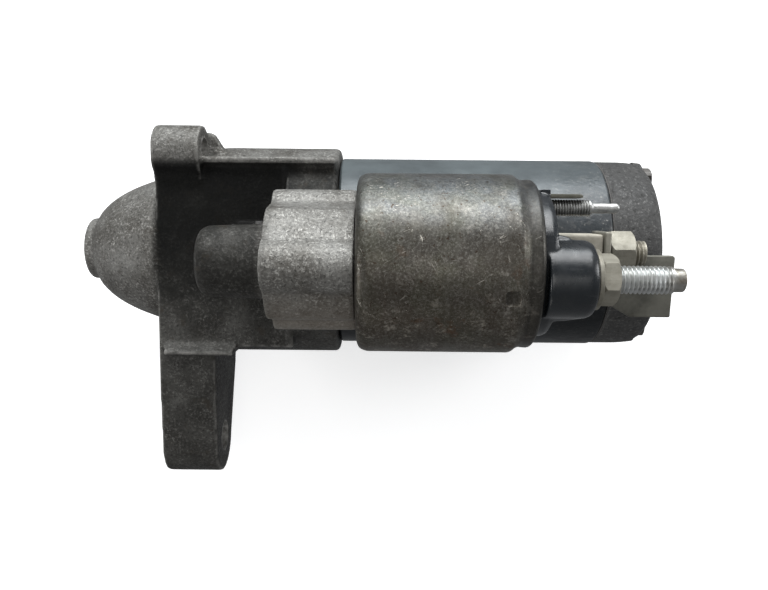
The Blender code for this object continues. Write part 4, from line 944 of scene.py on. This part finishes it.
def terminal_nut(name, node, y, z, twist):
    low, high = span(node)
    r = max(high.y - low.y, high.z - low.z) / 2
    turn = soft_turned([(low.x, 0), (low.x, r * 0.90), (low.x + 0.9, r * 1.01), (high.x - 0.9, r * 1.01),
                        (high.x, r * 0.88), (high.x, 0)], 0.3, y, z)
    hole = turned([(low.x - 1, 0), (low.x - 1, 4.9), (low.x, 4.75), (low.x + 0.7, 4.15),
                   (high.x - 0.7, 4.15), (high.x, 4.75), (high.x + 1, 4.9), (high.x + 1, 0)], y, z, SMALL)
    body = combined(prism(hexagon(y, z, r, twist), low.x, high.x), keeps=[turn])
    piece(name, combined(body, cuts=[hole]), "nut", replaces=node)


def terminals():
    (by, bz), (my, mz), (ty, tz) = BATTERY, MOTOR, TRIGGER
    main_stud("battery_stud_thread", "battery_stud", by, bz, 3.5, CAP_LOW.x + 18.0)
    main_stud("motor_stud_thread", "motor_stud", my, mz, 0.0, CAP_LOW.x + 30.0)
    terminal_nut("battery_nut_hex", "battery_nut", by, bz, 47.5)
    terminal_nut("motor_nut_hex", "motor_nut", my, mz, 19.0)
    low, high = span("battery_washer")
    piece("battery_washer_ring", ring_of_metal(low.x, high.x, STUD_R + 0.3, 8.6, by, bz), "nut",
          replaces="battery_washer")
    low, high = span("trigger_stud")
    pin_x = high.x - 8.3
    pin = turned(fillet([(pin_x - 1.5, 0), (pin_x - 1.5, 1.9), (pin_x - 0.2, 1.9), (pin_x + 0.5, 1.45),
                         (pin_x + 3.0, 1.55), (high.x - 3.0, 1.45), (high.x - 0.8, 1.55), (high.x, 1.0),
                         (high.x, 0)], 0.3, 3), ty, tz, SMALL)
    foot = cylinder(low.x, low.x + 1.2, 2.3, ty, tz)
    bar = threaded(low.x + 0.9, pin_x - 0.5, SMALL_STUD_R, M5_PITCH, ty, tz, sides=40)
    whole = combined(bar, [pin, foot])
    piece("trigger_stud_thread", whole, "small_stud", replaces="trigger_stud", angle=40)
    low, high = span("trigger_tab")
    root, blade, tip = 0.8, 0.6, 0.35
    y = TAB[0]
    outline = [[(x, y + sy * w, tz + sz * h) for sy, sz in ((-1, -1), (1, -1), (1, 1), (-1, 1))]
               for x, w, h in ((low.x, root, 3.1), (low.x + 3.2, root, 3.1), (low.x + 3.5, blade, 3.1),
                               (high.x - 1.1, blade, 3.1), (high.x, tip, 2.4))]
    piece("trigger_tab_blade", rounded(loft(outline), 0.12, 2), "blade", replaces="trigger_tab")


def motor_strap():
    """The pressed strap: folded up against the stud, flat along the motor, down through the grommet."""
    low, high = span("motor_lead")
    (my, mz) = MOTOR
    plate_z = low.z + STRAP_RISE
    tab = rounded(box(low.x, low.x + 2.1, my - 7.3, my + 6.8, plate_z, high.z), 0.55, 3)
    slab = [(low.x, -11.0), (low.x, 1.8), (high.x - 0.8, 1.8), (high.x, 1.2), (high.x - 0.8, -18.5),
            (high.x - 14.0, -18.5), (high.x - 20.0, -15.0)]
    bm = loft([[(x, y, z) for x, y in slab] for z in (plate_z, plate_z + 2.0)])
    plate = rounded(bm, 0.5, 3)
    drop = rounded(box(FOOT_X0, FOOT_X1, FOOT_Y0, FOOT_Y1, low.z, plate_z + 1.0), 0.3)
    bend = pin_along_y(low.x + 2.1, plate_z + 2.0, 0.9, -3.9, 1.4)
    hole = cylinder(low.x - 1, low.x + 4, STUD_R + 0.3, my, mz)
    piece("motor_lead_strap", combined(plate, [tab, drop, bend], [hole]), "strap", replaces="motor_lead")


def grommet_block():
    low, high = span("lead_grommet")
    block = rounded(box(low.x, high.x, low.y, high.y, low.z, high.z), 0.9, 3)
    slot = box(FOOT_X0 - FOOT_ROOM, FOOT_X1 + FOOT_ROOM, FOOT_Y0 - FOOT_ROOM, FOOT_Y1 + FOOT_ROOM, 20, 50)
    piece("lead_grommet_block", combined(block, cuts=[slot]), "rubber", replaces="lead_grommet")


def bracket_screws():
    for number, degrees in enumerate(SCREW_ANGLES, 1):
        node = f"solenoid_screw_{number}"
        low, high = span(node)
        y, z = lobe_centre(degrees)
        head = soft_turned([(low.x, 0), (low.x, 3.7), (low.x + 0.7, SCREW_HEAD_R),
                            (low.x + 3.4, SCREW_HEAD_R), (low.x + 3.4, 0)], 0.3, y, z, ROUND)
        socket = cylinder(low.x - 1, low.x + 2.0, 2.1, y, z, 6)
        shank = cylinder(low.x + 3, high.x, 2.5, y, z)
        whole = combined(head, [shank], [socket])
        piece(f"solenoid_screw_socket_{number}", whole, "screw", replaces=node)


# ---------------------------------------------------------------- picture

IMAGE_WIDTH = 768
FOCAL_PIXELS = 744.0
SENSOR_MM = 36.0
CAMERA_MM = (80.0, 15.3, 287.5)

# Degrees back from straight down, and round the camera's own axis
CAMERA_TILT, CAMERA_ROLL = 6.44, 0.55

# The sheet under the object: its middle, half its side and the gap below the object, in metres
FLOOR_X, FLOOR_HALF, FLOOR_GAP = 0.08, 3.0, 0.0005
FLOOR_GLOW = 0.50


def camera():
    tilt, roll = math.radians(CAMERA_TILT), math.radians(CAMERA_ROLL)
    forward = Vector((0, -math.sin(tilt), -math.cos(tilt)))
    up = Vector((0, math.cos(tilt), -math.sin(tilt)))
    right = Vector((1, 0, 0))
    side = right * math.cos(roll) + up * math.sin(roll)
    top = -right * math.sin(roll) + up * math.cos(roll)
    data = bpy.data.cameras.new("camera")
    data.sensor_width = SENSOR_MM
    data.lens = FOCAL_PIXELS / IMAGE_WIDTH * SENSOR_MM
    data.clip_start, data.clip_end = 0.01, 20.0
    made = placed("camera", data)
    turn = Matrix((side, top, -forward)).transposed().to_4x4()
    made.matrix_world = Matrix.Translation(Vector(CAMERA_MM) * MM) @ turn
    bpy.context.scene.camera = made


def area_light(name, place, target, size, watts, colour):
    data = bpy.data.lights.new(name, "AREA")
    data.shape = "RECTANGLE"
    data.size, data.size_y = size
    data.energy = watts
    data.color = colour
    made = placed(name, data)
    way = Vector(target) - Vector(place)
    made.location = place
    made.rotation_mode = "QUATERNION"
    made.rotation_quaternion = way.to_track_quat("-Z", "Y")


def lights():
    """A long softbox and a low horizon light beyond the ear side, a weak one overhead, three dim fills."""
    middle = (0.075, 0.0, 0.03)
    area_light("key", (0.05, 0.80, 0.34), middle, (1.00, 0.40), 11.5, (0.98, 0.99, 1.0))
    area_light("horizon", (0.10, 0.85, 0.07), middle, (1.30, 0.20), 6.0, (0.92, 0.97, 1.0))
    area_light("overhead", (0.12, 0.05, 0.95), middle, (0.45, 0.45), 1.3, (1.0, 0.99, 0.97))
    area_light("rear_fill", (0.85, 0.25, 0.22), middle, (0.25, 0.35), 2.4, (0.98, 0.99, 1.0))
    area_light("low_fill", (-0.10, -0.75, 0.45), middle, (0.5, 0.3), 0.5, (1.0, 0.98, 0.95))
    area_light("nose_fill", (-0.75, -0.15, 0.35), (0.0, 0.0, 0.0), (0.35, 0.35), 2.6, (0.99, 0.99, 1.0))
    world = bpy.data.worlds.new("studio")
    world.use_nodes = True
    shade = world.node_tree.nodes["Background"]
    shade.inputs["Color"].default_value = (0.95, 0.97, 1.0, 1.0)
    shade.inputs["Strength"].default_value = 0.26
    bpy.context.scene.world = world
    bpy.context.scene.view_settings.view_transform = "Standard"


def floor():
    """A pale matt sheet, faintly glowing, just under the object's lowest point."""
    n = Nodes("floor_white_sheet")
    tone = n.mix(n.noise(90.0, 2.0, 0.5), (0.90, 0.90, 0.90), (0.94, 0.94, 0.94))
    n.done(tone, 0.9, 0.0, n.bump(n.noise(2.0, 2.0, 0.5), 0.02))
    n.shader.inputs["Emission Color"].default_value = (1.0, 1.0, 1.0, 1.0)
    n.shader.inputs["Emission Strength"].default_value = FLOOR_GLOW
    bm = bmesh.new()
    z = CAD_BOX[0].z - FLOOR_GAP
    corners = ((-1, -1), (1, -1), (1, 1), (-1, 1))
    rings = [[bm.verts.new((FLOOR_X + sx * half, sy * half, z)) for sx, sy in corners]
             for half in (FLOOR_HALF * 0.2, FLOOR_HALF)]
    bm.faces.new(rings[0])
    for i in range(4):
        bm.faces.new((rings[1][i], rings[1][(i + 1) % 4], rings[0][(i + 1) % 4], rings[0][i]))
    bmesh.ops.recalc_face_normals(bm, faces=bm.faces)
    mesh = mesh_of("floor", bm)
    mesh.materials.append(n.material)
    made = placed("floor", mesh)
    made.visible_diffuse = False
    made.visible_glossy = False


# ---------------------------------------------------------------- making it

dress_cad_nodes()
housing()
yoke_tube()
rear_end()
through_bolts()
can_shell()
rear_cap()
terminals()
motor_strap()
grommet_block()
bracket_screws()
camera()
lights()
floor()
